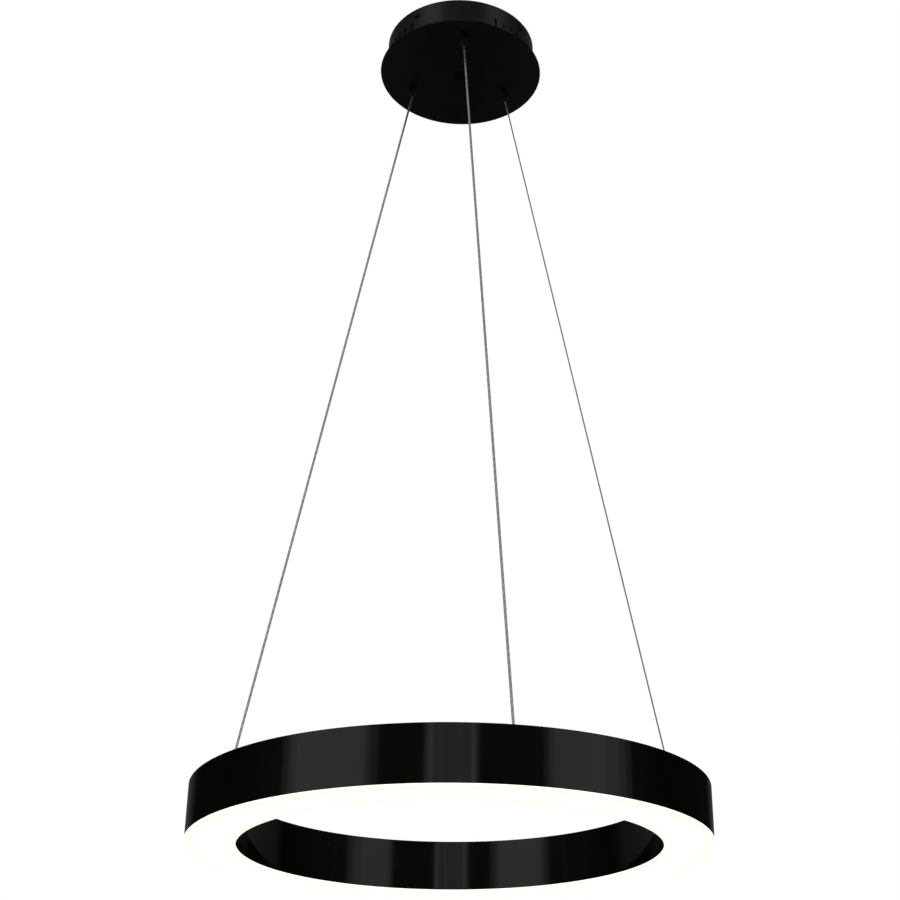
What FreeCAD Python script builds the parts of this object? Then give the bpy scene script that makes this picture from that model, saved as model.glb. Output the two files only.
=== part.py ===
import FreeCAD, Part
import math
import os
import re
import Sketcher
from FreeCAD import Placement, Rotation, Vector

# Ring pendant: a black ring channel with an opal diffuser, hung from a round ceiling canopy by three
# straight cables that run through push-button grips. Origin on the ceiling in the middle of the canopy,
# +Z up, so the whole lamp hangs at negative heights. Lengths in millimetres, angles in degrees.

doc = FreeCAD.newDocument("RingPendant")
sizes = doc.addObject("Spreadsheet::Sheet", "Sizes")

# Driving dimensions, one row of the sheet each
dimensions = {
    # hang of the whole lamp
    "drop_height": 1161.0,          # ceiling to the lower edge of the ring's walls
    "seat_gap": 0.1,                # between fixed pieces that sit in each other
    "running_gap": 0.06,            # radial, between pieces that slide in each other
    "overrun": 2.0,                 # by which every cutter passes the face it cuts
    # ring channel
    "ring_radius": 300.0,
    "channel_width": 56.5,          # between the two walls' visible faces
    "wall_height": 61.0,
    "wall_thickness": 1.5,
    "top_step_height": 1.0,         # the top plate lies this far below the walls' edges
    "top_thickness": 1.5,
    # opal diffuser
    "diffuser_thickness": 3.6,
    "diffuser_lip_width": 0.5,      # beyond the walls' faces
    "lug_height": 10.0,
    "lug_thickness": 3.0,
    "lug_width": 16.0,
    "clip_count": 4,                # on each wall
    "clip_width": 12.0,
    "clip_foot_height": 1.0,        # the clips' lower edge above the walls' edge
    "clip_thickness": 0.8,
    "clip_hook_length": 2.5,
    # light sources
    "carrier_height": 27.0,         # underside of the carrier above the walls' lower edge
    "carrier_thickness": 1.5,
    "carrier_wall_gap": 3.0,
    "board_count": 12,
    "board_length_share": 0.83,     # of a side of the carrier
    "board_width_share": 0.42,      # of the channel
    "board_thickness": 1.2,
    "led_per_board": 2,
    "led_length": 7.0,
    "led_width": 7.0,
    "led_thickness": 1.0,
    # posts that carry the light sources
    "post_count": 4,
    "post_width": 7.0,              # across the flats
    "post_screw_radius": 1.5,
    "post_screw_length": 8.0,
    "post_head_radius": 3.0,
    "post_head_height": 2.0,
    # canopy
    "canopy_height": 46.0,          # ceiling to the face plate's underside
    "plate_rim_width": 10.0,        # beyond the drum
    "plate_thickness": 2.0,
    "drum_radius": 105.5,
    "drum_thickness": 1.2,
    "slot_group_turn": -52.0,
    "slot_pitch_turn": 7.0,
    "slot_width": 3.4,
    "slot_low_height": 9.5,         # above the face plate's underside
    "slot_high_height": 24.5,
    "cap_hole_radius": 10.0,
    "cap_rim_width": 3.0,
    "cap_thickness": 1.2,
    # ceiling bracket and the screws in the drum's side
    "bracket_width": 24.0,
    "bracket_thickness": 2.0,
    "bracket_fold_height": 20.0,    # of the turned-down ends
    "bracket_hole_radius": 2.75,
    "bracket_hole_inset_length": 45.5,  # from the drum's side to the ceiling holes
    "side_screw_turn": -36.5,
    "side_screw_height": 11.0,      # below the ceiling
    "side_screw_radius": 2.0,
    "side_screw_length": 7.0,
    "side_knob_radius": 3.6,
    "side_knob_length": 3.2,
    # cable grips
    "grip_inset_length": 26.5,      # from the drum's side to the grips
    "grip_turn": -87.0,             # of the middle cable's grip
    "grip_head_length": 10.5,       # below the face plate
    "grip_shank_length": 13.5,      # above the plate's underside
    "grip_end_thickness": 1.5,
    "grip_nose_length": 3.0,        # of the plunger's guide in the head
    "grip_taper_width": 0.45,       # by which the inside widens upward
    "grip_shank_thickness": 0.8,
    "grip_shoulder_width": 1.25,
    "grip_nut_rim_width": 2.5,
    "grip_nut_height": 4.0,
    "plunger_gap": 0.2,             # round the cable
    "plunger_thickness": 0.9,
    "plunger_flange_width": 0.3,
    "plunger_flange_height": 1.0,
    "plunger_flange_gap": 0.15,
    "plunger_reach_length": 2.0,    # below the head
    "plunger_rest_gap": 0.05,
    "jaw_count": 3,
    "jaw_height": 6.0,
    "jaw_slit_width": 0.6,
    "spring_width": 0.25,           # of its flat wire, which stands on edge
    "spring_thickness": 0.5,
    "spring_turns": 4.0,
    # cables
    "power_cable_radius": 1.2,
    "rope_radius": 0.75,
    "cable_gap": 0.02,
    "tail_height": 2.2,             # straight part of the tail above its grip
    "tail_bend_radius": 7.5,
    "rope_tail_length": 9.0,
    "rope_end_length": 2.0,         # below the stop inside the ring
    "sleeve_thickness": 1.4,
    "sleeve_length": 6.0,
    # anchors on the ring
    "anchor_turn_left": 171.9,
    "anchor_turn_middle": -76.8,
    "anchor_turn_right": 9.3,
    "anchor_height": 7.0,           # above the top plate
    "anchor_flange_height": 4.0,
    "anchor_rim_width": 2.5,
    "anchor_neck_thickness": 1.0,   # beyond the shank
    "anchor_shank_thickness": 2.8,  # round the power cable
    "anchor_shank_length": 8.0,
    "anchor_nut_height": 3.2,
    "stop_thickness": 1.8,
    "stop_length": 7.0,
    "terminal_length": 14.0,
    "terminal_width": 9.0,
    "terminal_height": 7.0,
    # driver and its wiring
    "driver_end_gap": 31.0,         # from each end of the driver to the grips' circle
    "driver_width": 42.0,
    "driver_height": 21.0,
    "driver_thickness": 1.6,
    "driver_lid_thickness": 2.4,
    "driver_rim_height": 1.5,
    "driver_foot_length": 18.0,
    "driver_foot_reach_length": 9.0,
    "driver_foot_width": 22.0,
    "driver_foot_height": 3.5,
    "circuit_ledge_height": 3.0,    # circuit board above the tray's floor
    "circuit_thickness": 1.6,
    "coil_length": 24.0,
    "coil_width": 20.0,
    "coil_height": 11.0,
    "capacitor_radius": 5.0,
    "capacitor_height": 10.0,
    "stud_radius": 2.0,
    "stud_height": 8.5,
    "stud_nut_width": 7.0,          # across the flats
    "stud_nut_height": 3.2,
    "block_length": 30.0,
    "block_width": 16.0,
    "block_height": 13.0,
    "block_step_width": 4.0,
    "block_step_height": 8.0,
    "block_gap": 20.0,              # between the driver and the terminal block
    "pole_pitch_length": 9.0,
    "block_screw_radius": 1.8,
    "block_screw_height": 1.0,
    "lead_radius": 1.0,
    "lead_height": 5.0,             # above the driver's underside
    "earth_gap": 24.0,              # from the block's side to the earth stud
    "earth_tag_radius": 4.5,
    "earth_tag_thickness": 0.8,
}
for row, (word, amount) in enumerate(dimensions.items(), 1):
    sizes.set("A%d" % row, word)
    sizes.set("B%d" % row, str(amount))
    sizes.setAlias("B%d" % row, word)
doc.recompute()

words = re.compile(r"[a-z_]{3,}")
nodes = []


def value(formula):
    """Number that a formula over the sheet's words gives."""
    return float(sizes.evalExpression(formula))


def link(item, path, formula):
    """Bind a property to a formula over the sheet's words."""
    item.setExpression(path, words.sub(lambda m: "Sizes." + m[0] if m[0] in dimensions else m[0], formula))


def keep(item, name):
    """Give a sub-part its name and put it on the list that is written out."""
    item.Label = name
    nodes.append(item)
    return item


def place(item, x="0", y="0", z="0", turn="0"):
    """Put an object at a point, turned about the upright axis."""
    item.Placement.Rotation = Rotation(Vector(0, 0, 1), value(turn) or 1)
    link(item, "Placement.Rotation.Angle", turn)
    for axis, formula in (("x", x), ("y", y), ("z", z)):
        link(item, "Placement.Base." + axis, formula)
    return item


def polar(radius, turn):
    """Formulas for the x and y of a point on a circle."""
    return "%s * cos(%s)" % (radius, turn), "%s * sin(%s)" % (radius, turn)


# Sketch-based pieces

def new_body(name):
    return doc.addObject("PartDesign::Body", name)


def new_sketch(body, role, lift="0"):
    """Sketch on one of the body's own origin planes, moved along the plane's normal."""
    sketch = body.newObject("Sketcher::SketchObject", body.Name + "_sketch")
    plane = next(feature for feature in body.Origin.OriginFeatures if feature.Role == role)
    sketch.AttachmentSupport = [(plane, "")]
    sketch.MapMode = "FlatFace"
    link(sketch, "AttachmentOffset.Base.z", lift)
    return sketch


def fix_point(sketch, index, position, u, v):
    """Hold a sketch point at two formulas, measured from the sketch's origin."""
    for kind, formula in (("DistanceX", u), ("DistanceY", v)):
        row = sketch.addConstraint(Sketcher.Constraint(kind, -1, 1, index, position, value(formula)))
        link(sketch, "Constraints[%d]" % row, formula)


def draw_polygon(sketch, corners):
    """Closed outline through corners given as pairs of formulas."""
    points = [Vector(value(u), value(v), 0) for u, v in corners]
    first = sketch.GeometryCount
    count = len(points)
    for i in range(count):
        sketch.addGeometry(Part.LineSegment(points[i], points[(i + 1) % count]), False)
    for i in range(count):
        follower = first + (i + 1) % count
        sketch.addConstraint(Sketcher.Constraint("Coincident", first + i, 2, follower, 1))
    for i, (u, v) in enumerate(corners):
        fix_point(sketch, first + i, 1, u, v)


def draw_box(sketch, left, bottom, right, top):
    draw_polygon(sketch, [(left, bottom), (right, bottom), (right, top), (left, top)])


def draw_circle(sketch, u, v, radius):
    """Circle with its centre and radius given as formulas."""
    centre = Vector(value(u), value(v), 0)
    index = sketch.addGeometry(Part.Circle(centre, Vector(0, 0, 1), value(radius)), False)
    fix_point(sketch, index, 3, u, v)
    row = sketch.addConstraint(Sketcher.Constraint("Radius", index, value(radius)))
    link(sketch, "Constraints[%d]" % row, radius)


def revolve(body, corners):
    """Turn an outline of (radius, height) corners about the upright axis."""
    sketch = new_sketch(body, "XZ_Plane")
    draw_polygon(sketch, corners)
    turned = body.newObject("PartDesign::Revolution", body.Name + "_turned")
    turned.Profile = sketch
    turned.ReferenceAxis = (sketch, ["V_Axis"])
    turned.Angle = 360
    return turned


def pad(body, sketch, height):
    """Raise a sketch along its plane's normal."""
    raised = body.newObject("PartDesign::Pad", body.Name + "_pad")
    raised.Profile = sketch
    link(raised, "Length", height)
    return raised


def pocket(body, sketch, depth, upward=True):
    """Cut a sketch into the body, along its plane's normal or against it."""
    doc.recompute()
    before = body.Shape.Volume
    cut = body.newObject("PartDesign::Pocket", body.Name + "_pocket")
    cut.Profile = sketch
    cut.Reversed = upward
    link(cut, "Length", depth)
    doc.recompute()
    if not body.Shape.Volume < before:
        raise RuntimeError("a pocket of %s cuts nothing" % body.Name)
    return cut


def draw_few_sided(sketch, u, v, radius, sides=8):
    """Regular outline whose corners lie on a circle, for a hole that nothing shows."""
    corners = []
    for k in range(sides):
        turn = 360 * k / sides
        corners.append(("%s + (%s) * cos(%g)" % (u, radius, turn), "%s + (%s) * sin(%g)" % (v, radius, turn)))
    draw_polygon(sketch, corners)


# Solid primitives. What shows is round; hidden shafts, bores and cords have 6, 8 or 12 flat sides.

def cylinder(name, radius, height, x="0", y="0", z="0"):
    item = doc.addObject("Part::Cylinder", name)
    link(item, "Radius", radius)
    link(item, "Height", height)
    return place(item, x, y, z)


def prism(name, sides, radius, height, x="0", y="0", z="0", turn="0"):
    """Upright prism whose corners lie on a circle of that radius."""
    item = doc.addObject("Part::Prism", name)
    item.Polygon = sides
    link(item, "Circumradius", radius)
    link(item, "Height", height)
    return place(item, x, y, z, turn)


def level_prism(name, sides, radius, length, x, y, z, turn):
    """Prism that lies level and points along a turn about the upright axis."""
    item = doc.addObject("Part::Prism", name)
    item.Polygon = sides
    link(item, "Circumradius", radius)
    link(item, "Height", length)
    item.Placement.Rotation = Rotation(Vector(0, 0, 1), value(turn)) * Rotation(Vector(0, 1, 0), 90)
    for axis, formula in (("x", x), ("y", y), ("z", z)):
        link(item, "Placement.Base." + axis, formula)
    return item


def radial_prism(name, sides, radius, length, start, turn, z):
    """Level prism that points away from the upright axis, from a start radius outward."""
    return level_prism(name, sides, radius, length, *polar("(%s)" % start, turn), z, turn)


def centred_box(name, length, width, height, x="0", y="0", z="0", turn="0"):
    """Box whose footprint is centred on x and y before it is turned about the origin."""
    item = doc.addObject("Part::Box", name)
    link(item, "Length", length)
    link(item, "Width", width)
    link(item, "Height", height)
    along = "(%s) - (%s) / 2" % (x, length)
    across = "(%s) - (%s) / 2" % (y, width)
    return place(item, "(%s) * cos(%s) - (%s) * sin(%s)" % (along, turn, across, turn),
                 "(%s) * sin(%s) + (%s) * cos(%s)" % (along, turn, across, turn), z, turn)


def loft(name, sides, ends):
    """Straight-sided solid through regular outlines, given as radius, x, y and z each."""
    rings = []
    for radius, x, y, z in ends:
        ring = doc.addObject("Part::RegularPolygon", name + "_outline")
        ring.Polygon = sides
        link(ring, "Circumradius", radius)
        rings.append(place(ring, x, y, z))
    item = doc.addObject("Part::Loft", name)
    item.Sections = rings
    item.Solid = True
    item.Ruled = True
    return item


def around(radius):
    """Corner radius of an eight-sided hole that clears a shaft by the seat gap."""
    return "(((%s) + seat_gap) / cos(180 / 8))" % radius


def across_flats(width):
    """Corner radius of a hexagon given by its width across the flats."""
    return "((%s) / 2 / cos(180 / 6))" % width


def hex_nut(name, width, height, hole, x, y, z):
    """Hexagon prism, sized across its flats, with an eight-sided hole."""
    blank = prism(name + "_prism", 6, across_flats(width), height, x, y, z)
    hole_cutter = prism(name + "_hole", 8, hole, "(%s) + 2 * overrun" % height, x, y, "(%s) - overrun" % z)
    return cut(name, blank, hole_cutter)


def cut(name, base, tool):
    item = doc.addObject("Part::Cut", name)
    item.Base = base
    item.Tool = tool
    return item


def fuse(name, items):
    item = doc.addObject("Part::MultiFuse", name)
    item.Shapes = items
    return item


def bundle(name, items):
    """Several solids held together, so that one cut takes them all."""
    item = doc.addObject("Part::Compound", name)
    item.Links = items
    return item


def group(name, items):
    """Several equal solids kept as one sub-part."""
    return keep(bundle(name, items), name)


# Heights and radii that several pieces share, as formulas; heights are measured from the ceiling

plate_under = "(-canopy_height)"
plate_top = "(plate_thickness - canopy_height)"
grip_mouth = "(-canopy_height - grip_head_length - plunger_reach_length)"
ring_base = "(-drop_height)"
top_plate_face = "(wall_height - top_step_height - drop_height)"
anchor_mouth = "(wall_height - top_step_height + anchor_height - drop_height)"
carrier_top = "(carrier_height + carrier_thickness - drop_height)"
bore_radius = "(ring_radius - channel_width)"
outer_face = "(ring_radius - wall_thickness)"
inner_face = "(%s + wall_thickness)" % bore_radius
channel_circle = "(ring_radius - channel_width / 2)"
grip_circle = "(drum_radius - grip_inset_length)"
plate_radius = "(drum_radius + plate_rim_width)"
plunger_radius = "(power_cable_radius + plunger_gap + plunger_thickness)"
plunger_flange = "(%s + plunger_flange_width)" % plunger_radius
taper_low = "(%s + plunger_flange_gap)" % plunger_flange
taper_high = "(%s + grip_taper_width)" % taper_low
grip_shank = "(%s + grip_shank_thickness)" % taper_high
grip_head = "(%s + grip_shoulder_width)" % grip_shank
anchor_shank = "(power_cable_radius + anchor_shank_thickness)"

sides = {
    "left": {"turn": "(grip_turn - 120)", "anchor": "anchor_turn_left", "radius": "power_cable_radius"},
    "middle": {"turn": "grip_turn", "anchor": "anchor_turn_middle", "radius": "power_cable_radius"},
    "right": {"turn": "(grip_turn + 120)", "anchor": "anchor_turn_right", "radius": "rope_radius"},
}


# Ring channel: two rolled walls, and a top plate of short straight sides welded between them

def make_wall(name, inside, outside):
    body = new_body(name)
    revolve(body, [(inside, "0"), (outside, "0"), (outside, "wall_height"), (inside, "wall_height")])
    return keep(place(body, z=ring_base), name)


make_wall("outer_wall", outer_face, "ring_radius")
make_wall("inner_wall", bore_radius, inner_face)

top_base = top_plate_face + " - top_thickness"
top_blank = prism("top_blank", 64, outer_face + " - seat_gap", "top_thickness", z=top_base)
top_height = "top_thickness + 2 * overrun"
top_tools = [prism("top_middle", 64, "(%s + seat_gap) / cos(180 / 64)" % inner_face, top_height,
                   z=top_base + " - overrun")]
for word, side in sides.items():
    top_tools.append(prism("top_hole_" + word, 8, anchor_shank + " + seat_gap", top_height,
                           *polar(channel_circle, side["anchor"]), top_base + " - overrun"))
keep(cut("top_plate", top_blank, bundle("top_tools", top_tools)), "top_plate")

# Opal diffuser: a flat ring that closes the channel, with lugs inside the walls that the clips hook over

lug_outer = outer_face + " - seat_gap - clip_thickness - seat_gap - lug_thickness / 2"
lug_inner = inner_face + " + seat_gap + clip_thickness + seat_gap + lug_thickness / 2"
clip_turns = ["((%d + 0.25) * 360 / clip_count)" % i for i in range(int(value("clip_count")))]
opal_ring = new_body("opal_ring")
revolve(opal_ring, [
    (bore_radius + " - diffuser_lip_width", "-diffuser_thickness"),
    ("ring_radius + diffuser_lip_width", "-diffuser_thickness"),
    ("ring_radius + diffuser_lip_width", "0"),
    (bore_radius + " - diffuser_lip_width", "0"),
])
opal_pieces = [place(opal_ring, z=ring_base)]
for i, turn in enumerate(clip_turns):
    for wall, middle in (("outer", lug_outer), ("inner", lug_inner)):
        opal_pieces.append(centred_box("lug_%s_%d" % (wall, i), "lug_thickness", "lug_width",
                                       "lug_height + diffuser_thickness / 2", middle, "0",
                                       ring_base + " - diffuser_thickness / 2", turn))
keep(fuse("diffuser", opal_pieces), "diffuser")

# Carrier: an aluminium frame of straight sides, one to each light board, that spreads their heat

carrier_corner = "(%s - carrier_wall_gap)" % outer_face
carrier_bore = "(%s + carrier_wall_gap)" % inner_face
side_angle = "(180 / board_count)"
board_circle = "((%s * cos(%s) + %s) / 2)" % (carrier_corner, side_angle, carrier_bore)
board_length = "(board_length_share * 2 * %s * tan(%s))" % (board_circle, side_angle)
board_width = "(board_width_share * channel_width)"
post_turns = ["((%d + 0.5) * 360 / post_count)" % i for i in range(int(value("post_count")))]
carrier_blank = prism("carrier_blank", int(value("board_count")), carrier_corner, "carrier_thickness",
                      z="carrier_height - drop_height", turn=side_angle)
carrier_bore_corner = "%s / cos(%s)" % (carrier_bore, side_angle)
carrier_tools = [prism("carrier_middle", int(value("board_count")), carrier_bore_corner,
                       "carrier_thickness + 2 * overrun", z="carrier_height - overrun - drop_height",
                       turn=side_angle)]
for i, turn in enumerate(post_turns):
    carrier_tools.append(prism("carrier_hole_%d" % i, 6, "post_screw_radius + seat_gap",
                               "carrier_thickness + 2 * overrun", *polar(channel_circle, turn),
                               "carrier_height - overrun - drop_height"))
keep(cut("led_carrier", carrier_blank, bundle("carrier_tools", carrier_tools)), "led_carrier")

boards = []
leds = []
for i in range(int(value("board_count"))):
    turn = "(%d * 360 / board_count)" % i
    boards.append(centred_box("board_%d" % i, board_width, board_length, "board_thickness",
                              board_circle, "0", "carrier_height - board_thickness - drop_height", turn))
    for k in range(int(value("led_per_board"))):
        along = "(%d - (led_per_board - 1) / 2) * %s / led_per_board" % (k, board_length)
        leds.append(centred_box("led_%d_%d" % (i, k), "led_width", "led_length", "led_thickness",
                                board_circle, along,
                                "carrier_height - board_thickness - led_thickness - drop_height", turn))
group("led_boards", boards)
group("leds", leds)

# Hexagon posts between the top plate and the carrier, each with a screw from below

posts = []
post_screws = []
post_length = "(wall_height - top_step_height - top_thickness - carrier_height - carrier_thickness)"
for i, turn in enumerate(post_turns):
    x, y = polar(channel_circle, turn)
    rod = prism("post_rod_%d" % i, 6, across_flats("post_width"), post_length, x, y, carrier_top)
    bore = prism("post_bore_%d" % i, 6, "post_screw_radius + seat_gap", "post_screw_length + overrun", x, y,
                 carrier_top + " - overrun")
    posts.append(cut("post_%d" % i, rod, bore))
    head = prism("post_head_%d" % i, 6, "post_head_radius", "post_head_height", x, y,
                 "carrier_height - post_head_height - drop_height")
    stem = prism("post_stem_%d" % i, 6, "post_screw_radius", "post_screw_length", x, y,
                 "carrier_height - drop_height")
    post_screws.append(fuse("post_screw_%d" % i, [head, stem]))
group("carrier_posts", posts)
group("carrier_screws", post_screws)

# Spring clips: a leaf welded to the wall, with a hook that reaches over the diffuser's lug

clips = []
for i, turn in enumerate(clip_turns):
    for wall, face, inward in (("outer", outer_face + " - seat_gap", "-1"),
                               ("inner", inner_face + " + seat_gap", "1")):
        leaf = centred_box("clip_leaf_%s_%d" % (wall, i), "clip_thickness", "clip_width",
                           "lug_height + seat_gap + clip_thickness - clip_foot_height",
                           "%s + %s * clip_thickness / 2" % (face, inward), "0",
                           "clip_foot_height - drop_height", turn)
        hook = centred_box("clip_hook_%s_%d" % (wall, i), "clip_hook_length", "clip_width", "clip_thickness",
                           "%s + %s * (clip_thickness + clip_hook_length / 2)" % (face, inward), "0",
                           "lug_height + seat_gap - drop_height", turn)
        clips.append(fuse("clip_%s_%d" % (wall, i), [leaf, hook]))
group("diffuser_clips", clips)

# Cable anchors: bushes through the top plate, each with a nut, a crimped stop and the cable's end

anchors = []
anchor_nuts = []
stops = []
ends = []
terminals = []
anchor_width = "2 * (%s + anchor_rim_width)" % anchor_shank
for word, side in sides.items():
    x, y = polar(channel_circle, side["anchor"])
    cable = side["radius"]
    flange = prism("anchor_flange_" + word, 6, across_flats(anchor_width), "anchor_flange_height", x, y,
                   top_plate_face)
    neck = prism("anchor_neck_" + word, 12, anchor_shank + " + anchor_neck_thickness", "anchor_height", x, y,
                 top_plate_face)
    shank = prism("anchor_shank_" + word, 8, anchor_shank, "anchor_shank_length + top_thickness", x, y,
                  top_base + " - anchor_shank_length")
    bore = prism("anchor_bore_" + word, 8, around(cable),
                 "anchor_shank_length + top_thickness + anchor_height + 2 * overrun", x, y,
                 top_base + " - anchor_shank_length - overrun")
    anchors.append(cut("anchor_" + word, fuse("anchor_blank_" + word, [flange, neck, shank]), bore))
    anchor_nuts.append(hex_nut("anchor_nut_" + word, anchor_width, "anchor_nut_height",
                               anchor_shank + " + seat_gap", x, y, top_base + " - anchor_nut_height"))
    stop_base = top_base + " - anchor_shank_length - seat_gap - stop_length"
    stops.append(hex_nut("stop_" + word, "2 * (%s + stop_thickness)" % cable, "stop_length", around(cable),
                         x, y, stop_base))
    if cable == "power_cable_radius":
        end_base = carrier_top + " + terminal_height"
        terminals.append(centred_box("terminal_" + word, "terminal_width", "terminal_length",
                                     "terminal_height", channel_circle, "0", carrier_top, side["anchor"]))
    else:
        end_base = stop_base + " - rope_end_length"
    ends.append(prism("end_" + word, 12, cable, anchor_mouth + " - (%s)" % end_base, x, y, end_base))
group("cable_anchors", anchors)
group("anchor_nuts", anchor_nuts)
group("cable_stops", stops)
group("cable_ends", ends)
group("lead_terminals", terminals)

# Canopy: a rolled drum with vent slots, on a wider face plate

drum_blank = new_body("drum_blank")
revolve(drum_blank, [
    ("drum_radius - drum_thickness", "plate_thickness"),
    ("drum_radius", "plate_thickness"),
    ("drum_radius", "canopy_height"),
    ("drum_radius - drum_thickness", "canopy_height"),
])
place(drum_blank, z=plate_under)
cutters = []
for quarter in range(4):
    for k in range(4):
        turn = "(slot_group_turn + %d * 90 + (%d - 1.5) * slot_pitch_turn)" % (quarter, k)
        cutters.append(centred_box("slot_%d_%d" % (quarter, k), "drum_thickness + 2 * overrun", "slot_width",
                                   "slot_high_height - slot_low_height", "drum_radius - drum_thickness / 2",
                                   "0", plate_under + " + slot_low_height", turn))
    cutters.append(radial_prism("side_hole_%d" % quarter, 6, "side_screw_radius + seat_gap",
                                "drum_thickness + 2 * overrun", "drum_radius - drum_thickness - overrun",
                                "(side_screw_turn + %d * 90)" % quarter, "-side_screw_height"))
keep(cut("canopy_drum", drum_blank, bundle("slot_tools", cutters)), "canopy_drum")

face_plate = new_body("face_plate")
face_sketch = new_sketch(face_plate, "XY_Plane")
draw_circle(face_sketch, "0", "0", plate_radius)
draw_circle(face_sketch, "0", "0", "cap_hole_radius")
for side in sides.values():
    draw_few_sided(face_sketch, *polar(grip_circle, side["turn"]), grip_shank + " + seat_gap")
pad(face_plate, face_sketch, "plate_thickness")
keep(place(face_plate, z=plate_under), "face_plate")

# Cap that closes the hole in the middle of the face plate from above, so its face lies set back

keep(prism("centre_cap", 12, "cap_hole_radius + cap_rim_width", "cap_thickness", z=plate_top), "centre_cap")

# Ceiling bracket: a flat cross with its four ends turned down for the side screws

bracket_reach = "sqrt((drum_radius - drum_thickness - seat_gap)^2 - (bracket_width / 2)^2)"
arms = []
drills = []
for quarter in range(4):
    turn = "(side_screw_turn + %d * 90)" % quarter
    arms.append(centred_box("arm_%d" % quarter, bracket_reach, "bracket_width", "bracket_thickness",
                            bracket_reach + " / 2", "0", "-bracket_thickness", turn))
    arms.append(centred_box("fold_%d" % quarter, "bracket_thickness", "bracket_width", "bracket_fold_height",
                            bracket_reach + " - bracket_thickness / 2", "0", "-bracket_fold_height", turn))
    drills.append(cylinder("ceiling_hole_%d" % quarter, "bracket_hole_radius",
                           "bracket_thickness + 2 * overrun",
                           *polar("(drum_radius - bracket_hole_inset_length)", turn),
                           "-bracket_thickness - overrun"))
    drills.append(radial_prism("fold_hole_%d" % quarter, 6, "side_screw_radius + seat_gap",
                               "bracket_thickness + 2 * overrun",
                               bracket_reach + " - bracket_thickness - overrun", turn, "-side_screw_height"))
keep(cut("ceiling_bracket", fuse("bracket_cross", arms), bundle("cross_tools", drills)), "ceiling_bracket")

side_screws = []
for quarter in range(4):
    turn = "(side_screw_turn + %d * 90)" % quarter
    knob = radial_prism("side_knob_%d" % quarter, 12, "side_knob_radius", "side_knob_length",
                        "drum_radius + seat_gap", turn, "-side_screw_height")
    stem = radial_prism("side_stem_%d" % quarter, 6, "side_screw_radius", "side_screw_length",
                        "drum_radius + seat_gap - side_screw_length", turn, "-side_screw_height")
    side_screws.append(fuse("side_screw_%d" % quarter, [knob, stem]))
group("side_screws", side_screws)

# Cable grips: a threaded body with a taper inside, jaws that the cable pulls into it, a spring above
# them and a plunger below that lifts them. Heights run from the face plate's underside.

taper_base = "(grip_nose_length - grip_head_length)"
taper_top = "(grip_shank_length - grip_end_thickness)"
jaw_base = "(%s + plunger_rest_gap + plunger_flange_height)" % taper_base
jaw_top = "(%s + jaw_height)" % jaw_base
spring_top = plate_under + " + " + taper_top


def taper_radius(height):
    rise = "(%s - %s) / (%s - %s)" % (height, taper_base, taper_top, taper_base)
    return "(%s + grip_taper_width * %s)" % (taper_low, rise)


bodies = []
grip_nuts = []
for word, side in sides.items():
    x, y = polar(grip_circle, side["turn"])
    head = cylinder("grip_head_" + word, grip_head, "grip_head_length", x, y,
                    plate_under + " - grip_head_length")
    shank = prism("grip_shank_" + word, 8, grip_shank, "grip_shank_length + grip_head_length / 2", x, y,
                  plate_under + " - grip_head_length / 2")
    nose = prism("grip_nose_" + word, 12, plunger_radius + " + running_gap", "grip_nose_length + 2 * overrun",
                 x, y, plate_under + " - grip_head_length - overrun")
    taper = loft("grip_taper_" + word, 12, [(taper_low, x, y, plate_under + " + " + taper_base),
                                            (taper_high, x, y, spring_top)])
    top_hole = prism("grip_top_hole_" + word, 8, around(side["radius"]),
                     "grip_end_thickness + 2 * overrun", x, y, spring_top + " - overrun")
    bodies.append(cut("grip_body_" + word, fuse("grip_blank_" + word, [head, shank]),
                      bundle("grip_tools_" + word, [nose, taper, top_hole])))
    grip_nuts.append(hex_nut("grip_nut_" + word, "2 * (%s + grip_nut_rim_width)" % grip_shank,
                             "grip_nut_height", grip_shank + " + seat_gap", x, y, plate_top))
group("grip_bodies", bodies)
group("grip_nuts", grip_nuts)


def make_plunger(word, side):
    x, y = polar(grip_circle, side["turn"])
    shelf = "(%s + %s + plunger_rest_gap)" % (plate_under, taper_base)
    nose = prism("plunger_nose_" + word, 12, plunger_radius, "%s - %s" % (shelf, grip_mouth), x, y,
                 grip_mouth)
    flange = prism("plunger_flange_" + word, 12, plunger_flange, "plunger_flange_height", x, y, shelf)
    bore = prism("plunger_bore_" + word, 8, "(%s + plunger_gap) / cos(180 / 8)" % side["radius"],
                 "%s + plunger_flange_height - %s + 2 * overrun" % (shelf, grip_mouth), x, y,
                 grip_mouth + " - overrun")
    keep(cut("plunger_" + word, fuse("plunger_blank_" + word, [nose, flange]), bore), "plunger_" + word)


def make_jaws(word, side):
    """Three wedges cut from one tapered plug by slits, held just clear of the taper."""
    x, y = polar(grip_circle, side["turn"])
    plug = loft("jaw_plug_" + word, 12, [
        (taper_radius(jaw_base) + " - running_gap", x, y, plate_under + " + " + jaw_base),
        (taper_radius(jaw_top) + " - running_gap", x, y, plate_under + " + " + jaw_top),
    ])
    base = plate_under + " + %s - overrun" % jaw_base
    seat_height = "jaw_height + 2 * overrun"
    tools = [prism("jaw_seat_" + word, 12, side["radius"] + " + cable_gap", seat_height, x, y, base)]
    for k in range(int(value("jaw_count"))):
        turn = "((%d + 0.5) * 360 / jaw_count)" % k
        slit = doc.addObject("Part::Box", "jaw_slit_%s_%d" % (word, k))
        link(slit, "Length", "%s + overrun" % taper_high)
        link(slit, "Width", "jaw_slit_width")
        link(slit, "Height", seat_height)
        tools.append(place(slit, "%s + jaw_slit_width / 2 * sin(%s)" % (x, turn),
                           "%s - jaw_slit_width / 2 * cos(%s)" % (y, turn), base, turn))
    keep(cut("jaws_" + word, plug, bundle("jaw_tools_" + word, tools)), "jaws_" + word)


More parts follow.
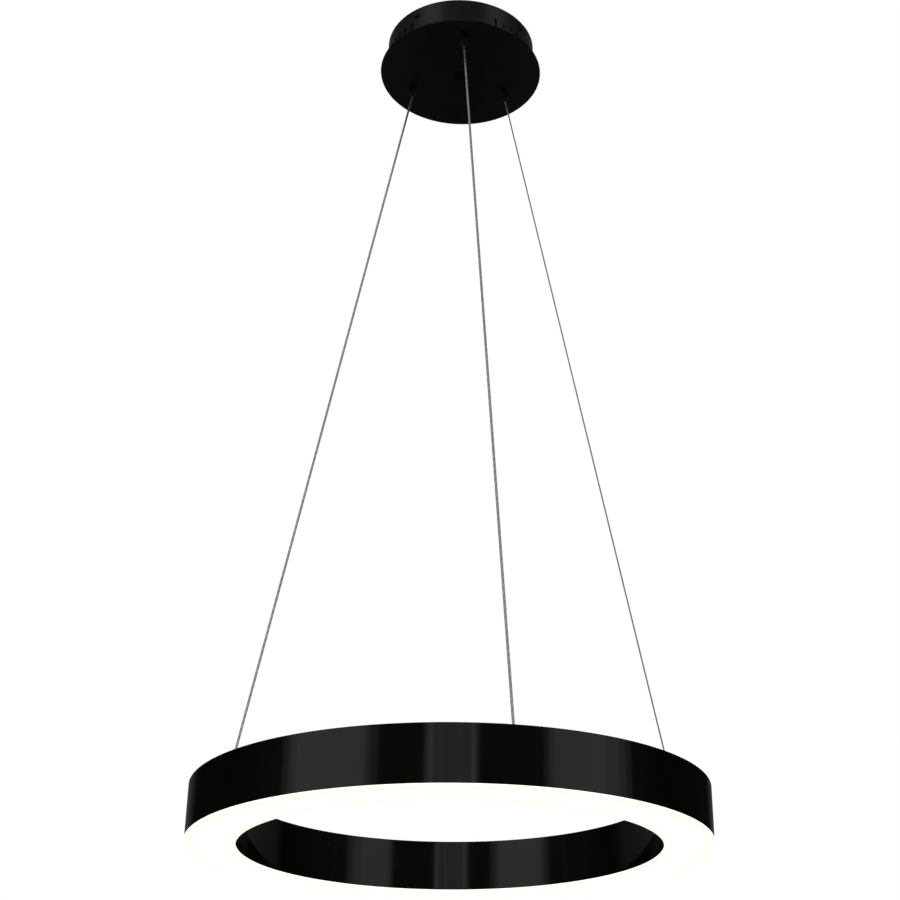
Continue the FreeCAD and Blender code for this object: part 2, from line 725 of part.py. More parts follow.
def make_spring(word, side):
    """Coil of flat wire, lofted through upright sections set round the axis by equal turns."""
    base = value(jaw_top)
    height = value(taper_top) - base
    width = value("spring_width")
    wire = value("spring_thickness")
    middle = value(taper_radius(jaw_top)) - value("running_gap") - wire
    steps_per_turn = 6
    steps = int(round(value("spring_turns") * steps_per_turn))
    sections = []
    for step in range(steps + 1):
        angle = 2 * math.pi * step / steps_per_turn
        level = base + (height - wire) * step / steps
        corners = []
        for radius, lift in ((middle - width / 2, 0), (middle + width / 2, 0), (middle + width / 2, wire),
                             (middle - width / 2, wire)):
            corners.append(Vector(radius * math.cos(angle), radius * math.sin(angle), level + lift))
        sections.append(Part.makePolygon(corners + corners[:1]))
    item = doc.addObject("Part::Feature", "spring_" + word)
    item.Shape = Part.makeLoft(sections, True, True)
    x, y = polar(grip_circle, side["turn"])
    keep(place(item, x, y, plate_under), "spring_" + word)


for word, side in sides.items():
    make_plunger(word, side)
    make_jaws(word, side)
    make_spring(word, side)

# Cables: the straight free stretch from each grip's mouth to its anchor

for word, side in sides.items():
    run = loft("cable_" + word, 12, [
        (side["radius"], *polar(grip_circle, side["turn"]), grip_mouth),
        (side["radius"], *polar(channel_circle, side["anchor"]), anchor_mouth),
    ])
    keep(run, "cable_" + word)
    doc.recompute()
    ends_apart = [ring.Placement.Base for ring in run.Sections]
    print("%s: free length %.1f" % (run.Name, (ends_apart[0] - ends_apart[1]).Length))


def bent_cord(name, foot, corner, target, bend, radius):
    """Twelve-sided cord, straight up to one quarter bend and straight on, lofted through its sections."""
    up = (corner - foot).normalize()
    onward = (target - corner).normalize()
    across = up.cross(onward)
    centre = corner - up * bend + onward * bend
    places = [(foot, up)]
    steps = 4
    for step in range(steps + 1):
        angle = math.pi / 2 * step / steps
        outward = up * math.sin(angle) - onward * math.cos(angle)
        places.append((centre + outward * bend, up * math.cos(angle) + onward * math.sin(angle)))
    places.append((target, onward))
    sections = []
    for spot, heading in places:
        outward = across.cross(heading)
        corners = []
        for k in range(12):
            turn = 2 * math.pi * k / 12
            corners.append(spot + outward * (radius * math.cos(turn)) + across * (radius * math.sin(turn)))
        sections.append(Part.makePolygon(corners + corners[:1]))
    item = doc.addObject("Part::Feature", name)
    item.Shape = Part.makeLoft(sections, True, True)
    length = (corner - foot).Length + (target - corner).Length - 2 * bend + math.pi / 2 * bend
    section = 12 / 2 * radius ** 2 * math.sin(2 * math.pi / 12)
    print("%s: length %.1f, bend %.1f, volume %.1f against %.1f"
          % (name, length, bend, item.Shape.Volume, section * length))
    return keep(item, name)


# Tails: each cable's other end, up through its grip and on inside the canopy

driver_length = "(2 * (%s - driver_end_gap))" % grip_circle
tail_level = plate_under + " + grip_shank_length + tail_height + tail_bend_radius"
driver_side = value("driver_width / 2 - driver_thickness")
driver_end = value(driver_length + " / 2 - driver_thickness")
for word, side in sides.items():
    x, y = (value(formula) for formula in polar(grip_circle, side["turn"]))
    if side["radius"] == "rope_radius":
        tail = prism("tail_" + word, 12, "rope_radius",
                     "plunger_reach_length + grip_head_length + grip_shank_length + rope_tail_length",
                     *polar(grip_circle, side["turn"]), grip_mouth)
        keep(tail, "tail_" + word)
    else:
        level = value(tail_level)
        target = Vector(-driver_side, y, level) if word == "left" else Vector(x, -driver_end, level)
        bent_cord("tail_" + word, Vector(x, y, value(grip_mouth)), Vector(x, y, level), target,
                  value("tail_bend_radius"), value(side["radius"]))

sleeve_base = plate_under + " + grip_shank_length + rope_tail_length - sleeve_length"
keep(hex_nut("rope_sleeve", "2 * (rope_radius + sleeve_thickness)", "sleeve_length", around("rope_radius"),
             *polar(grip_circle, sides["right"]["turn"]), sleeve_base), "rope_sleeve")

# Driver: a tray on two feet, with a circuit board inside, closed by a lid

tray = new_body("tray_blank")
tray_sketch = new_sketch(tray, "XY_Plane", "driver_foot_height")
half_length = "(%s / 2)" % driver_length
well_width = "(driver_width / 2 - driver_thickness)"
well_length = "(%s - driver_thickness)" % half_length
draw_box(tray_sketch, "-driver_width / 2", "-" + half_length, "driver_width / 2", half_length)
pad(tray, tray_sketch, "driver_height")
well_sketch = new_sketch(tray, "XY_Plane", "driver_foot_height + driver_thickness")
draw_box(well_sketch, "-" + well_width, "-" + well_length, well_width, well_length)
pocket(tray, well_sketch, "driver_height + overrun")
foot_end = "(%s + driver_foot_reach_length)" % half_length
foot_start = "(%s - driver_foot_length)" % foot_end
stud_spot = "(%s + driver_foot_reach_length / 2)" % half_length
for sign in ("-", ""):
    foot_sketch = new_sketch(tray, "XY_Plane")
    near, far = ("-" + foot_end, "-" + foot_start) if sign else (foot_start, foot_end)
    draw_box(foot_sketch, "-driver_foot_width / 2", near, "driver_foot_width / 2", far)
    draw_few_sided(foot_sketch, "0", sign + stud_spot, "stud_radius + seat_gap")
    pad(tray, foot_sketch, "driver_foot_height")
place(tray, z=plate_top)

middle_x = polar(grip_circle, sides["middle"]["turn"])[0]
left_y = polar(grip_circle, sides["left"]["turn"])[1]
lead_level = plate_top + " + driver_foot_height + lead_height"
wall_cut = "driver_thickness + 2 * overrun"
entries = [
    level_prism("left_entry", 8, around("power_cable_radius"), wall_cut, "-driver_width / 2 - overrun",
                left_y, tail_level, "0"),
    level_prism("middle_entry", 8, around("power_cable_radius"), wall_cut, middle_x,
                "-%s - overrun" % half_length, tail_level, "90"),
]
leads = []
for word, spot in (("live", "-pole_pitch_length"), ("neutral", "pole_pitch_length")):
    entries.append(level_prism(word + "_entry", 8, "lead_radius + seat_gap", wall_cut, spot,
                               well_length + " - overrun", lead_level, "90"))
    leads.append(level_prism(word + "_lead", 8, "lead_radius", "block_gap + driver_thickness", spot,
                             well_length, lead_level, "90"))
group("supply_leads", leads)
keep(cut("driver_tray", tray, bundle("entry_tools", entries)), "driver_tray")

lid = new_body("lid_body")
lid_sketch = new_sketch(lid, "XY_Plane")
draw_box(lid_sketch, "-driver_width / 2", "-" + half_length, "driver_width / 2", half_length)
pad(lid, lid_sketch, "driver_lid_thickness")
rim_sketch = new_sketch(lid, "XY_Plane", "-driver_rim_height")
rim_side = "(%s - seat_gap)" % well_width
rim_end = "(%s - seat_gap)" % well_length
draw_box(rim_sketch, "-" + rim_side, "-" + rim_end, rim_side, rim_end)
pad(lid, rim_sketch, "driver_rim_height")
keep(place(lid, z=plate_top + " + driver_foot_height + driver_height"), "driver_lid")

# Circuit board of the driver on two ledges, with its coil and capacitors

floor_level = plate_top + " + driver_foot_height + driver_thickness"
circuit_top = floor_level + " + circuit_ledge_height + circuit_thickness"
circuit_width = "2 * (%s - 2 * seat_gap)" % well_width
pieces = [centred_box("circuit_sheet", circuit_width, "2 * (%s - 2 * seat_gap)" % well_length,
                      "circuit_thickness", "0", "0", floor_level + " + circuit_ledge_height")]
for word, sign in (("front", "-"), ("back", "")):
    pieces.append(centred_box("circuit_ledge_" + word, circuit_width, "circuit_thickness",
                              "circuit_ledge_height", "0", "%s%s / 3" % (sign, driver_length), floor_level))
keep(fuse("driver_circuit", pieces), "driver_circuit")
parts_on_circuit = [centred_box("coil", "coil_width", "coil_length", "coil_height", "0", "0", circuit_top)]
for i, share in enumerate((-0.3, 0.3)):
    parts_on_circuit.append(prism("capacitor_%d" % i, 8, "capacitor_radius", "capacitor_height",
                                  "capacitor_radius", "%g * %s" % (share, driver_length), circuit_top))
group("circuit_parts", parts_on_circuit)

# Terminal block for the supply, with its screws, and the lead from its middle pole to the earth stud

block = new_body("terminal_block")
block_sketch = new_sketch(block, "YZ_Plane", "-block_length / 2")
block_front = "(%s + block_gap)" % half_length
draw_polygon(block_sketch, [
    (block_front, "0"),
    (block_front + " + block_width", "0"),
    (block_front + " + block_width", "block_step_height"),
    (block_front + " + block_width - block_step_width", "block_step_height"),
    (block_front + " + block_width - block_step_width", "block_height"),
    (block_front + " + block_step_width", "block_height"),
    (block_front + " + block_step_width", "block_step_height"),
    (block_front, "block_step_height"),
])
pad(block, block_sketch, "block_length")
keep(place(block, z=plate_top), "terminal_block")
block_screws = []
for i, spot in enumerate(("-pole_pitch_length", "0", "pole_pitch_length")):
    for k, row in enumerate(("block_step_width / 2", "block_width - block_step_width / 2")):
        block_screws.append(prism("block_screw_%d_%d" % (i, k), 6, "block_screw_radius",
                                  "block_screw_height", spot, block_front + " + " + row,
                                  plate_top + " + block_step_height"))
group("terminal_screws", block_screws)

earth_x = "(block_length / 2 + earth_gap)"
earth_y = "(%s + block_width / 2)" % block_front
tag_disc = prism("tag_disc", 8, "earth_tag_radius", "earth_tag_thickness", earth_x, earth_y, plate_top)
tag_neck = centred_box("tag_neck", "2 * earth_tag_radius", "earth_tag_radius", "earth_tag_thickness",
                       earth_x + " - earth_tag_radius", earth_y, plate_top)
tag_hole = prism("tag_hole", 8, "stud_radius + seat_gap", "earth_tag_thickness + 2 * overrun", earth_x,
                 earth_y, plate_top + " - overrun")
keep(cut("earth_tag", fuse("tag_blank", [tag_disc, tag_neck]), tag_hole), "earth_tag")
keep(level_prism("earth_lead", 8, "lead_radius", "earth_gap - earth_tag_radius", "block_length / 2",
                 earth_y, plate_top + " + earth_tag_thickness + lead_radius", "0"), "earth_lead")

# Welded studs on the face plate, with nuts that hold the driver and the earth tag

studs = []
stud_nuts = []
for word, x, y, seat in (("front", "0", "-" + stud_spot, "driver_foot_height"),
                         ("back", "0", stud_spot, "driver_foot_height"),
                         ("earth", earth_x, earth_y, "earth_tag_thickness")):
    studs.append(prism("stud_" + word, 8, "stud_radius", "stud_height", x, y, plate_top))
    stud_nuts.append(hex_nut("stud_nut_" + word, "stud_nut_width", "stud_nut_height",
                             "stud_radius + seat_gap", x, y, plate_top + " + " + seat))
group("plate_studs", studs)
group("stud_nuts", stud_nuts)

doc.recompute()
for item in doc.Objects:
    if "Invalid" in item.State or "Error" in item.State:
        raise RuntimeError("%s failed: %s" % (item.Name, item.State))
os.makedirs("parts", exist_ok=True)
for item in nodes:
    shape = item.Shape
    if shape.isNull() or not shape.isValid():
        raise RuntimeError("%s has no valid shape" % item.Label)
    shape.exportStep("parts/%s.step" % item.Label)
print("%d sub-parts written" % len(nodes))
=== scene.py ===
import math
import bmesh
import bpy
import numpy as np
from mathutils import Matrix, Vector


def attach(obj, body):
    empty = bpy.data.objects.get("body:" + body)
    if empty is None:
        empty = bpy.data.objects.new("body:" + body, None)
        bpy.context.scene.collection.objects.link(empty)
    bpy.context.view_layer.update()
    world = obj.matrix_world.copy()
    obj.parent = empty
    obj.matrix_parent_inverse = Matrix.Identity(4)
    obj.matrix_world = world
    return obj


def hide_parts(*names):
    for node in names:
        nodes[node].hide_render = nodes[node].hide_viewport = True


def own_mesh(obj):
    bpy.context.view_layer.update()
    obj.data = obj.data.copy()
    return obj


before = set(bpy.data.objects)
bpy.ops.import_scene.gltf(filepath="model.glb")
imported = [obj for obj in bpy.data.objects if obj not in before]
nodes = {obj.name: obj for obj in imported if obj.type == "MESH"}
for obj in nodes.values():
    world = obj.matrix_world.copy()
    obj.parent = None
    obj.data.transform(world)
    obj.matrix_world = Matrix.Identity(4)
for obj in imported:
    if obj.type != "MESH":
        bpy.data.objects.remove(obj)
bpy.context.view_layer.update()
scene = bpy.context.scene
print("stage: frame loaded")


# Camera at the photograph's place: right, up and backward directions are its columns
cameraFacts = {
    "place": (0.0, -1.8279, -1.5493),
    "right": (0.99928, -0.03779, -0.00449),
    "up": (-0.01261, -0.44020, 0.89781),
    "forward": (0.03590, 0.89710, 0.44036),
    "lens": 63.363,
    "shiftX": -0.0697,
    "sensor": 36.0,
    "clipEnd": 60.0,
}


def addCamera(facts):
    data = bpy.data.cameras.new("photoCamera")
    data.sensor_width = facts["sensor"]
    data.lens = facts["lens"]
    data.shift_x = facts["shiftX"]
    data.clip_end = facts["clipEnd"]
    camera = bpy.data.objects.new("photoCamera", data)
    scene.collection.objects.link(camera)
    columns = [Vector(facts["right"]), Vector(facts["up"]), -Vector(facts["forward"])]
    turn = Matrix([[column[row] for column in columns] for row in range(3)])
    camera.matrix_world = Matrix.Translation(facts["place"]) @ turn.to_4x4()
    scene.camera = camera


addCamera(cameraFacts)
scene.view_settings.view_transform = "Standard"


# Mesh helpers: every surface is a grid of two parameters
crease = 35.0
weldDistance = 1e-6
drillFacts = {"sides": 48, "overrun": 0.002}
guardShare = 0.6
hexBlend = 0.0006


def gridFaces(rows, columns, closeRows, closeColumns):
    a, b = np.meshgrid(np.arange(rows if closeRows else rows - 1),
                       np.arange(columns if closeColumns else columns - 1), indexing="ij")
    c, d = (a + 1) % rows, (b + 1) % columns
    corners = np.stack([a * columns + b, c * columns + b, c * columns + d, a * columns + d], -1)
    return corners.reshape(-1, 4)


def meshFrom(name, points, faces, sharp=crease):
    mesh = bpy.data.meshes.new(name)
    faceList = np.concatenate([np.asarray(group).reshape(-1) for group in faces])
    counts = np.concatenate([np.full(len(group), np.asarray(group).shape[1]) for group in faces])
    starts = np.concatenate([[0], np.cumsum(counts)[:-1]])
    mesh.vertices.add(len(points))
    mesh.vertices.foreach_set("co", np.asarray(points, dtype=np.float32).reshape(-1))
    mesh.loops.add(len(faceList))
    mesh.loops.foreach_set("vertex_index", faceList.astype(np.int32))
    mesh.polygons.add(len(counts))
    mesh.polygons.foreach_set("loop_start", starts.astype(np.int32))
    mesh.polygons.foreach_set("loop_total", counts.astype(np.int32))
    mesh.polygons.foreach_set("use_smooth", np.ones(len(counts), dtype=bool))
    mesh.update(calc_edges=True)
    mesh.set_sharp_from_angle(angle=math.radians(sharp))
    return mesh


def addPiece(name, points, faces, body, sharp=crease):
    piece = bpy.data.objects.new(name, meshFrom(name, points, faces, sharp))
    scene.collection.objects.link(piece)
    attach(piece, body)
    return piece


# Points that lie together become one, so that pointed ends close
def weld(piece):
    work = bmesh.new()
    work.from_mesh(piece.data)
    bmesh.ops.remove_doubles(work, verts=work.verts, dist=weldDistance)
    work.to_mesh(piece.data)
    work.free()
    piece.data.set_sharp_from_angle(angle=math.radians(crease))


# Round holes through a flat piece, cut with upright drills at the given centres
def drill(piece, centres, radius, low, high):
    profile = np.array([(radius, low - drillFacts["overrun"]), (radius, high + drillFacts["overrun"])])
    points, faces = spindle(profile, drillFacts["sides"])
    points, faces = joined([(points + np.array((centre[0], centre[1], 0.0)), faces) for centre in centres])
    cutter = bpy.data.objects.new("drills", meshFrom("drills", points, faces))
    scene.collection.objects.link(cutter)
    holes = piece.modifiers.new("holes", "BOOLEAN")
    holes.operation, holes.solver, holes.object = "DIFFERENCE", "EXACT", cutter
    solid = piece.data
    piece.data = bpy.data.meshes.new_from_object(piece.evaluated_get(bpy.context.evaluated_depsgraph_get()))
    piece.modifiers.clear()
    piece.data.set_sharp_from_angle(angle=math.radians(crease))
    piece.data.name = solid.name
    bpy.data.meshes.remove(solid)
    bpy.data.objects.remove(cutter)


# Outline with its corners rounded: each corner becomes an arc with a guard point on either side
def rounded(corners, radii, steps=4):
    corners = np.asarray(corners, dtype=float)
    outline = []
    for index, radius in enumerate(radii):
        here = corners[index]
        back = corners[index - 1] - here
        onward = corners[(index + 1) % len(corners)] - here
        back, onward = back / np.linalg.norm(back), onward / np.linalg.norm(onward)
        if radius == 0:
            outline.append(here)
            continue
        half = math.acos(np.clip(back @ onward, -1, 1)) / 2
        reach = radius / math.tan(half)
        middle = here + (back + onward) / np.linalg.norm(back + onward) * radius / math.sin(half)
        first, last = here + back * reach, here + onward * reach
        outline.append(first + back * reach * guardShare)
        share = np.linspace(0, 1, steps + 1)[:, None]
        chord = first * (1 - share) + last * share - middle
        outline.extend(middle + chord / np.linalg.norm(chord, axis=1)[:, None] * radius)
        outline.append(last + onward * reach * guardShare)
    return np.array(outline)


# Turned piece: a closed outline of radius and height, anticlockwise, carried round the upright axis; its wide
# rows may be hexagonal, and their radius is then half the width over flats
def turned(outline, segments, centre=(0.0, 0.0, 0.0), hexAbove=None):
    angle = np.linspace(0, 2 * math.pi, segments, endpoint=False)[:, None]
    sector = (angle + math.pi / 6) % (math.pi / 3) - math.pi / 6
    radius, height = outline[:, 0][None, :], outline[:, 1][None, :]
    flat = 0 * radius if hexAbove is None else np.clip((radius - hexAbove) / hexBlend, 0, 1)
    radius = radius * (1 + flat * (1 / np.cos(sector) - 1))
    points = np.stack([radius * np.cos(angle), radius * np.sin(angle), height + 0 * angle], -1) + np.array(centre)
    return points.reshape(-1, 3), [gridFaces(segments, len(outline), True, True)]


# Spindle: an open profile of radius and height from foot to top, closed at both ends by small faces; the wide
# rows may be knurled
def spindle(profile, segments, knurl=(0, 0.0, 1.0)):
    angle = np.linspace(0, 2 * math.pi, segments, endpoint=False)[:, None]
    radius, height = profile[:, 0][None, :], profile[:, 1][None, :]
    count, depth, above = knurl
    radius = radius - depth * (radius > above) * (0.5 - 0.5 * np.cos(count * angle))
    points = np.stack([radius * np.cos(angle), radius * np.sin(angle), height + 0 * angle], -1)
    rows = np.arange(segments) * len(profile)
    caps = np.stack([rows[::-1], rows + len(profile) - 1])
    return points.reshape(-1, 3), [gridFaces(segments, len(profile), True, False), caps]


# Thread: crests and roots by turns, up a stem
def threadRows(radius, start, stop, pitch, depth):
    crests = np.arange(start, stop, pitch)
    return np.stack([np.stack([crests * 0 + radius, crests], -1),
                     np.stack([crests * 0 + radius - depth, crests + pitch / 2], -1)], 1).reshape(-1, 2)


# Several closed surfaces as one piece
def joined(parts):
    points, faces, start = [], [], 0
    for partPoints, partFaces in parts:
        points.append(partPoints)
        faces.extend(np.asarray(group) + start for group in partFaces)
        start += len(partPoints)
    return np.concatenate(points), faces


def polar(radius, degrees, height):
    return (radius * math.cos(math.radians(degrees)), radius * math.sin(math.radians(degrees)), height)


# Points of a route's smooth line, read from its spline
def splinePoints(route):
    curve = bpy.data.curves.new("route", "CURVE")
    curve.dimensions = "3D"
    spline = curve.splines.new("NURBS")
    spline.points.add(len(route) - 1)
    spline.points.foreach_set("co", np.c_[np.asarray(route), np.ones(len(route))].reshape(-1))
    spline.order_u = 3
    spline.use_endpoint_u = True
    spline.resolution_u = 24
    holder = bpy.data.objects.new("route", curve)
    mesh = bpy.data.meshes.new_from_object(holder)
    points = np.empty(len(mesh.vertices) * 3, dtype=np.float32)
    mesh.vertices.foreach_get("co", points)
    bpy.data.objects.remove(holder)
    bpy.data.curves.remove(curve)
    bpy.data.meshes.remove(mesh)
    return points.reshape(-1, 3).astype(float)


# Tube along a line: the centre may wind round the line at an offset radius, by whole turns of a pitch
def tubeAlong(line, radius, sides, steps, offset=0.0, pitch=1.0, phase=0.0):
    legs = np.linalg.norm(np.diff(line, axis=0), axis=1)
    run = np.concatenate([[0], np.cumsum(legs)])
    s = np.linspace(0, run[-1], steps)
    base = np.stack([np.interp(s, run, line[:, axis]) for axis in range(3)], -1)
    tangent = np.gradient(base, axis=0)
    tangent /= np.linalg.norm(tangent, axis=1)[:, None]
    first = np.cross(tangent, (0.0, 1.0, 0.0))
    first /= np.linalg.norm(first, axis=1)[:, None]
    second = np.cross(tangent, first)
    wind = (2 * math.pi * s / pitch + phase)[:, None]
    centre = base + offset * (first * np.cos(wind) + second * np.sin(wind))
    around = np.linspace(0, 2 * math.pi, sides, endpoint=False)[None, :, None]
    points = centre[:, None, :] + radius * (first[:, None, :] * np.cos(around)
                                            + second[:, None, :] * np.sin(around))
    faces = gridFaces(steps, sides, False, True)[:, ::-1]
    caps = np.stack([np.arange(sides)[::-1], (steps - 1) * sides + np.arange(sides)])
    return points.reshape(-1, 3), [faces, caps]


# Material helpers: a noise is read over the middle of its range, a finer one lets the roughness wander, and
# a very fine one gives the bump
noiseSpan = (0.35, 0.65)
fineGrain = 2200.0
wanderRate = 2.3


def addNode(tree, kind, settings=None, **sockets):
    node = tree.nodes.new(kind)
    for word, setting in (settings or {}).items():
        setattr(node, word, setting)
    for word, source in sockets.items():
        socket = node.inputs[int(word[1:])] if word[0] == "i" and word[1:].isdigit() else node.inputs[word]
        if isinstance(source, bpy.types.NodeSocket):
            tree.links.new(source, socket)
        else:
            socket.default_value = source
    return node


def math2(tree, operation, a, b=0.0):
    return addNode(tree, "ShaderNodeMath", {"operation": operation}, i0=a, i1=b).outputs[0]


def noise(tree, scale, detail=3.0, stretch=(1.0, 1.0, 1.0)):
    place = addNode(tree, "ShaderNodeTexCoord").outputs["Object"]
    mapped = addNode(tree, "ShaderNodeMapping", None, Vector=place, Scale=stretch).outputs[0]
    node = addNode(tree, "ShaderNodeTexNoise", None, Vector=mapped, Scale=scale, Detail=detail, Roughness=0.55)
    return node.outputs[0]


def between(tree, source, low, high):
    node = addNode(tree, "ShaderNodeMapRange", None, i0=source, i1=noiseSpan[0], i2=noiseSpan[1], i3=low, i4=high)
    return node.outputs[0]


def smoothStep(tree, source, start, stop, low=0.0, high=1.0):
    node = addNode(tree, "ShaderNodeMapRange", {"interpolation_type": "SMOOTHSTEP"}, i0=source, i1=start, i2=stop,
                   i3=low, i4=high)
    return node.outputs[0]


def newMaterial(name):
    material = bpy.data.materials.new(name)
    material.use_nodes = True
    return material, material.node_tree, material.node_tree.nodes["Principled BSDF"]


def mixTones(tree, skin, share, first, second):
    mix = addNode(tree, "ShaderNodeMix", {"data_type": "RGBA"})
    tree.links.new(share, mix.inputs[0])
    mix.inputs[6].default_value = (*first, 1.0)
    mix.inputs[7].default_value = (*second, 1.0)
    tree.links.new(mix.outputs[2], skin.inputs["Base Color"])


def addRamp(tree, source, target, tones, span=(0.0, 1.0)):
    ramp = addNode(tree, "ShaderNodeValToRGB")
    for index in range(2):
        ramp.color_ramp.elements[index].color = (*tones[index], 1.0)
        ramp.color_ramp.elements[index].position = span[index]
    tree.links.new(source, ramp.inputs[0])
    tree.links.new(ramp.outputs[0], target)


def addRelief(tree, skin, strength, distance, height):
    relief = addNode(tree, "ShaderNodeBump", None, Strength=strength, Distance=distance, Height=height)
    tree.links.new(relief.outputs[0], skin.inputs["Normal"])


# Finish: two tones mixed by a noise, a roughness that wanders, and a fine bump
def makeFinish(name, tones, roughness, scale, stretch=(1.0, 1.0, 1.0), bump=0.1, depth=0.0001, **shader):
    material, tree, skin = newMaterial(name)
    mixTones(tree, skin, between(tree, noise(tree, scale, 4.0, stretch), 0.0, 1.0), *tones)
    wander = noise(tree, scale * wanderRate, 3.0, stretch)
    tree.links.new(between(tree, wander, roughness[0], roughness[1]), skin.inputs["Roughness"])
    addRelief(tree, skin, bump, depth, noise(tree, fineGrain, 2.0, stretch))
    for word, setting in shader.items():
        skin.inputs[word.replace("_", " ")].default_value = setting
    return material


def grey(level, warm=0.0):
    return (level * (1 + warm), level, level * (1 - warm))


finishes = {
    "aluminiumSheet": makeFinish("aluminiumSheet", (grey(0.55), grey(0.68)), (0.28, 0.42), 90.0,
                                 (1.0, 1.0, 6.0), 0.15, 0.00005, Metallic=1.0),
    "aluminiumRod": makeFinish("aluminiumRod", (grey(0.6), grey(0.72)), (0.22, 0.36), 260.0,
                               (1.0, 1.0, 9.0), 0.2, 0.00004, Metallic=1.0),
    "boardWhite": makeFinish("boardWhite", (grey(0.78, 0.01), grey(0.84, 0.01)), (0.35, 0.5), 160.0),
    "ledYellow": makeFinish("ledYellow", ((0.86, 0.66, 0.16), (0.93, 0.78, 0.3)), (0.3, 0.45), 900.0),
    "zincSteel": makeFinish("zincSteel", ((0.5, 0.51, 0.53), (0.66, 0.66, 0.66)), (0.3, 0.5), 420.0,
                            Metallic=1.0),
    "springSteel": makeFinish("springSteel", (grey(0.45), grey(0.6)), (0.2, 0.35), 500.0, Metallic=1.0),
    "anchorBlack": makeFinish("anchorBlack", (grey(0.02), grey(0.035)), (0.25, 0.4), 500.0, Metallic=0.6),
    "cableGrey": makeFinish("cableGrey", (grey(0.42), grey(0.56)), (0.25, 0.4), 800.0, Metallic=0.6),
    "ropeSteel": makeFinish("ropeSteel", (grey(0.6), grey(0.75)), (0.26, 0.42), 1400.0, Metallic=0.9),
    "terminalWhite": makeFinish("terminalWhite", (grey(0.7, 0.02), grey(0.8, 0.02)), (0.4, 0.55), 400.0),
    "capBlack": makeFinish("capBlack", (grey(0.0015), grey(0.003)), (0.5, 0.65), 500.0,
                           Specular_IOR_Level=0.2),
    "screwBlack": makeFinish("screwBlack", (grey(0.03), grey(0.06)), (0.22, 0.36), 700.0, Metallic=0.8),
    "gripBlack": makeFinish("gripBlack", (grey(0.010, 0.02), grey(0.016, 0.02)), (0.32, 0.42), 700.0,
                            (1.0, 1.0, 4.0), 0.08, Specular_IOR_Level=0.3),
    "driverGrey": makeFinish("driverGrey", (grey(0.62, 0.01), grey(0.7, 0.01)), (0.45, 0.6), 220.0,
                             bump=0.25, depth=0.00012),
    "circuitGreen": makeFinish("circuitGreen", ((0.01, 0.12, 0.04), (0.02, 0.2, 0.07)), (0.3, 0.45), 240.0,
                               (1.0, 5.0, 1.0)),
    "componentBlack": makeFinish("componentBlack", (grey(0.02), grey(0.05)), (0.35, 0.5), 300.0),
    "leadBrown": makeFinish("leadBrown", ((0.12, 0.045, 0.02), (0.17, 0.065, 0.03)), (0.35, 0.5), 500.0),
    "leadGreen": makeFinish("leadGreen", ((0.05, 0.3, 0.06), (0.75, 0.68, 0.05)), (0.35, 0.5), 120.0,
                            (4.0, 0.2, 0.2)),
    "brassScrew": makeFinish("brassScrew", ((0.62, 0.42, 0.16), (0.78, 0.56, 0.25)), (0.22, 0.36), 600.0,
                             Metallic=1.0),
}
finishOfNode = {
    "diffuser_clips": "springSteel", "led_carrier": "aluminiumSheet", "led_boards": "boardWhite",
    "leds": "ledYellow", "carrier_posts": "aluminiumRod", "carrier_screws": "zincSteel",
    "anchor_nuts": "zincSteel", "cable_stops": "aluminiumRod", "cable_ends": "cableGrey",
    "lead_terminals": "terminalWhite", "ceiling_bracket": "zincSteel", "grip_nuts": "zincSteel",
    "rope_sleeve": "aluminiumRod", "tail_right": "ropeSteel", "tail_left": "cableGrey",
    "tail_middle": "cableGrey", "driver_tray": "driverGrey", "driver_lid": "driverGrey",
    "driver_circuit": "circuitGreen", "circuit_parts": "componentBlack", "terminal_block": "terminalWhite",
    "terminal_screws": "brassScrew", "supply_leads": "leadBrown", "earth_tag": "brassScrew",
    "earth_lead": "leadGreen", "plate_studs": "zincSteel", "stud_nuts": "zincSteel",
    "jaws_left": "brassScrew", "jaws_middle": "brassScrew", "jaws_right": "brassScrew",
}


def dress(piece, material):
    piece.data.materials.clear()
    piece.data.materials.append(material)


for nodeName, finishName in finishOfNode.items():
    dress(nodes[nodeName], finishes[finishName])
print("stage: finishes made")


# Black paint of the ring and, less glossy, of the canopy: the rolled sheet is a little wavy, so reflections
# break into upright streaks
paintLook = {"speck": 900.0, "dark": 0.8, "light": 1.2, "dust": 60.0, "dustStretch": (1.0, 1.0, 0.5), "wave": 34.0,
             "waveStretch": (1.0, 1.0, 0.04), "peelShare": 0.01, "depth": 0.0002}


def makeGlossPaint(name, paint, ripple, specular, roughness):
    material, tree, skin = newMaterial(name)
    speck = between(tree, noise(tree, paintLook["speck"], 4.0), 0.0, 1.0)
    mixTones(tree, skin, speck, *([paintLook[word] * tone for tone in paint] for word in ("dark", "light")))
    dust = noise(tree, paintLook["dust"], 5.0, paintLook["dustStretch"])
    tree.links.new(between(tree, dust, roughness[0], roughness[1]), skin.inputs["Roughness"])
    wave = noise(tree, paintLook["wave"], 2.0, paintLook["waveStretch"])
    peel = noise(tree, paintLook["speck"], 1.0)
    height = math2(tree, "ADD", wave, math2(tree, "MULTIPLY", peel, paintLook["peelShare"]))
    addRelief(tree, skin, ripple, paintLook["depth"], height)
    skin.inputs["Specular IOR Level"].default_value = specular
    return material


ringPaint = makeGlossPaint("ringPaint", (0.0014, 0.0014, 0.0011), 0.14, 0.5, (0.06, 0.10))
canopyPaint = makeGlossPaint("canopyPaint", (0.0042, 0.0052, 0.0024), 0.12, 0.35, (0.30, 0.36))


# Ring walls: rolled strips with their edges broken
ring = {"radius": 0.300, "bore": 0.2435, "foot": -1.161, "height": 0.061, "wall": 0.0015, "edge": 0.00035,
        "segments": 384}


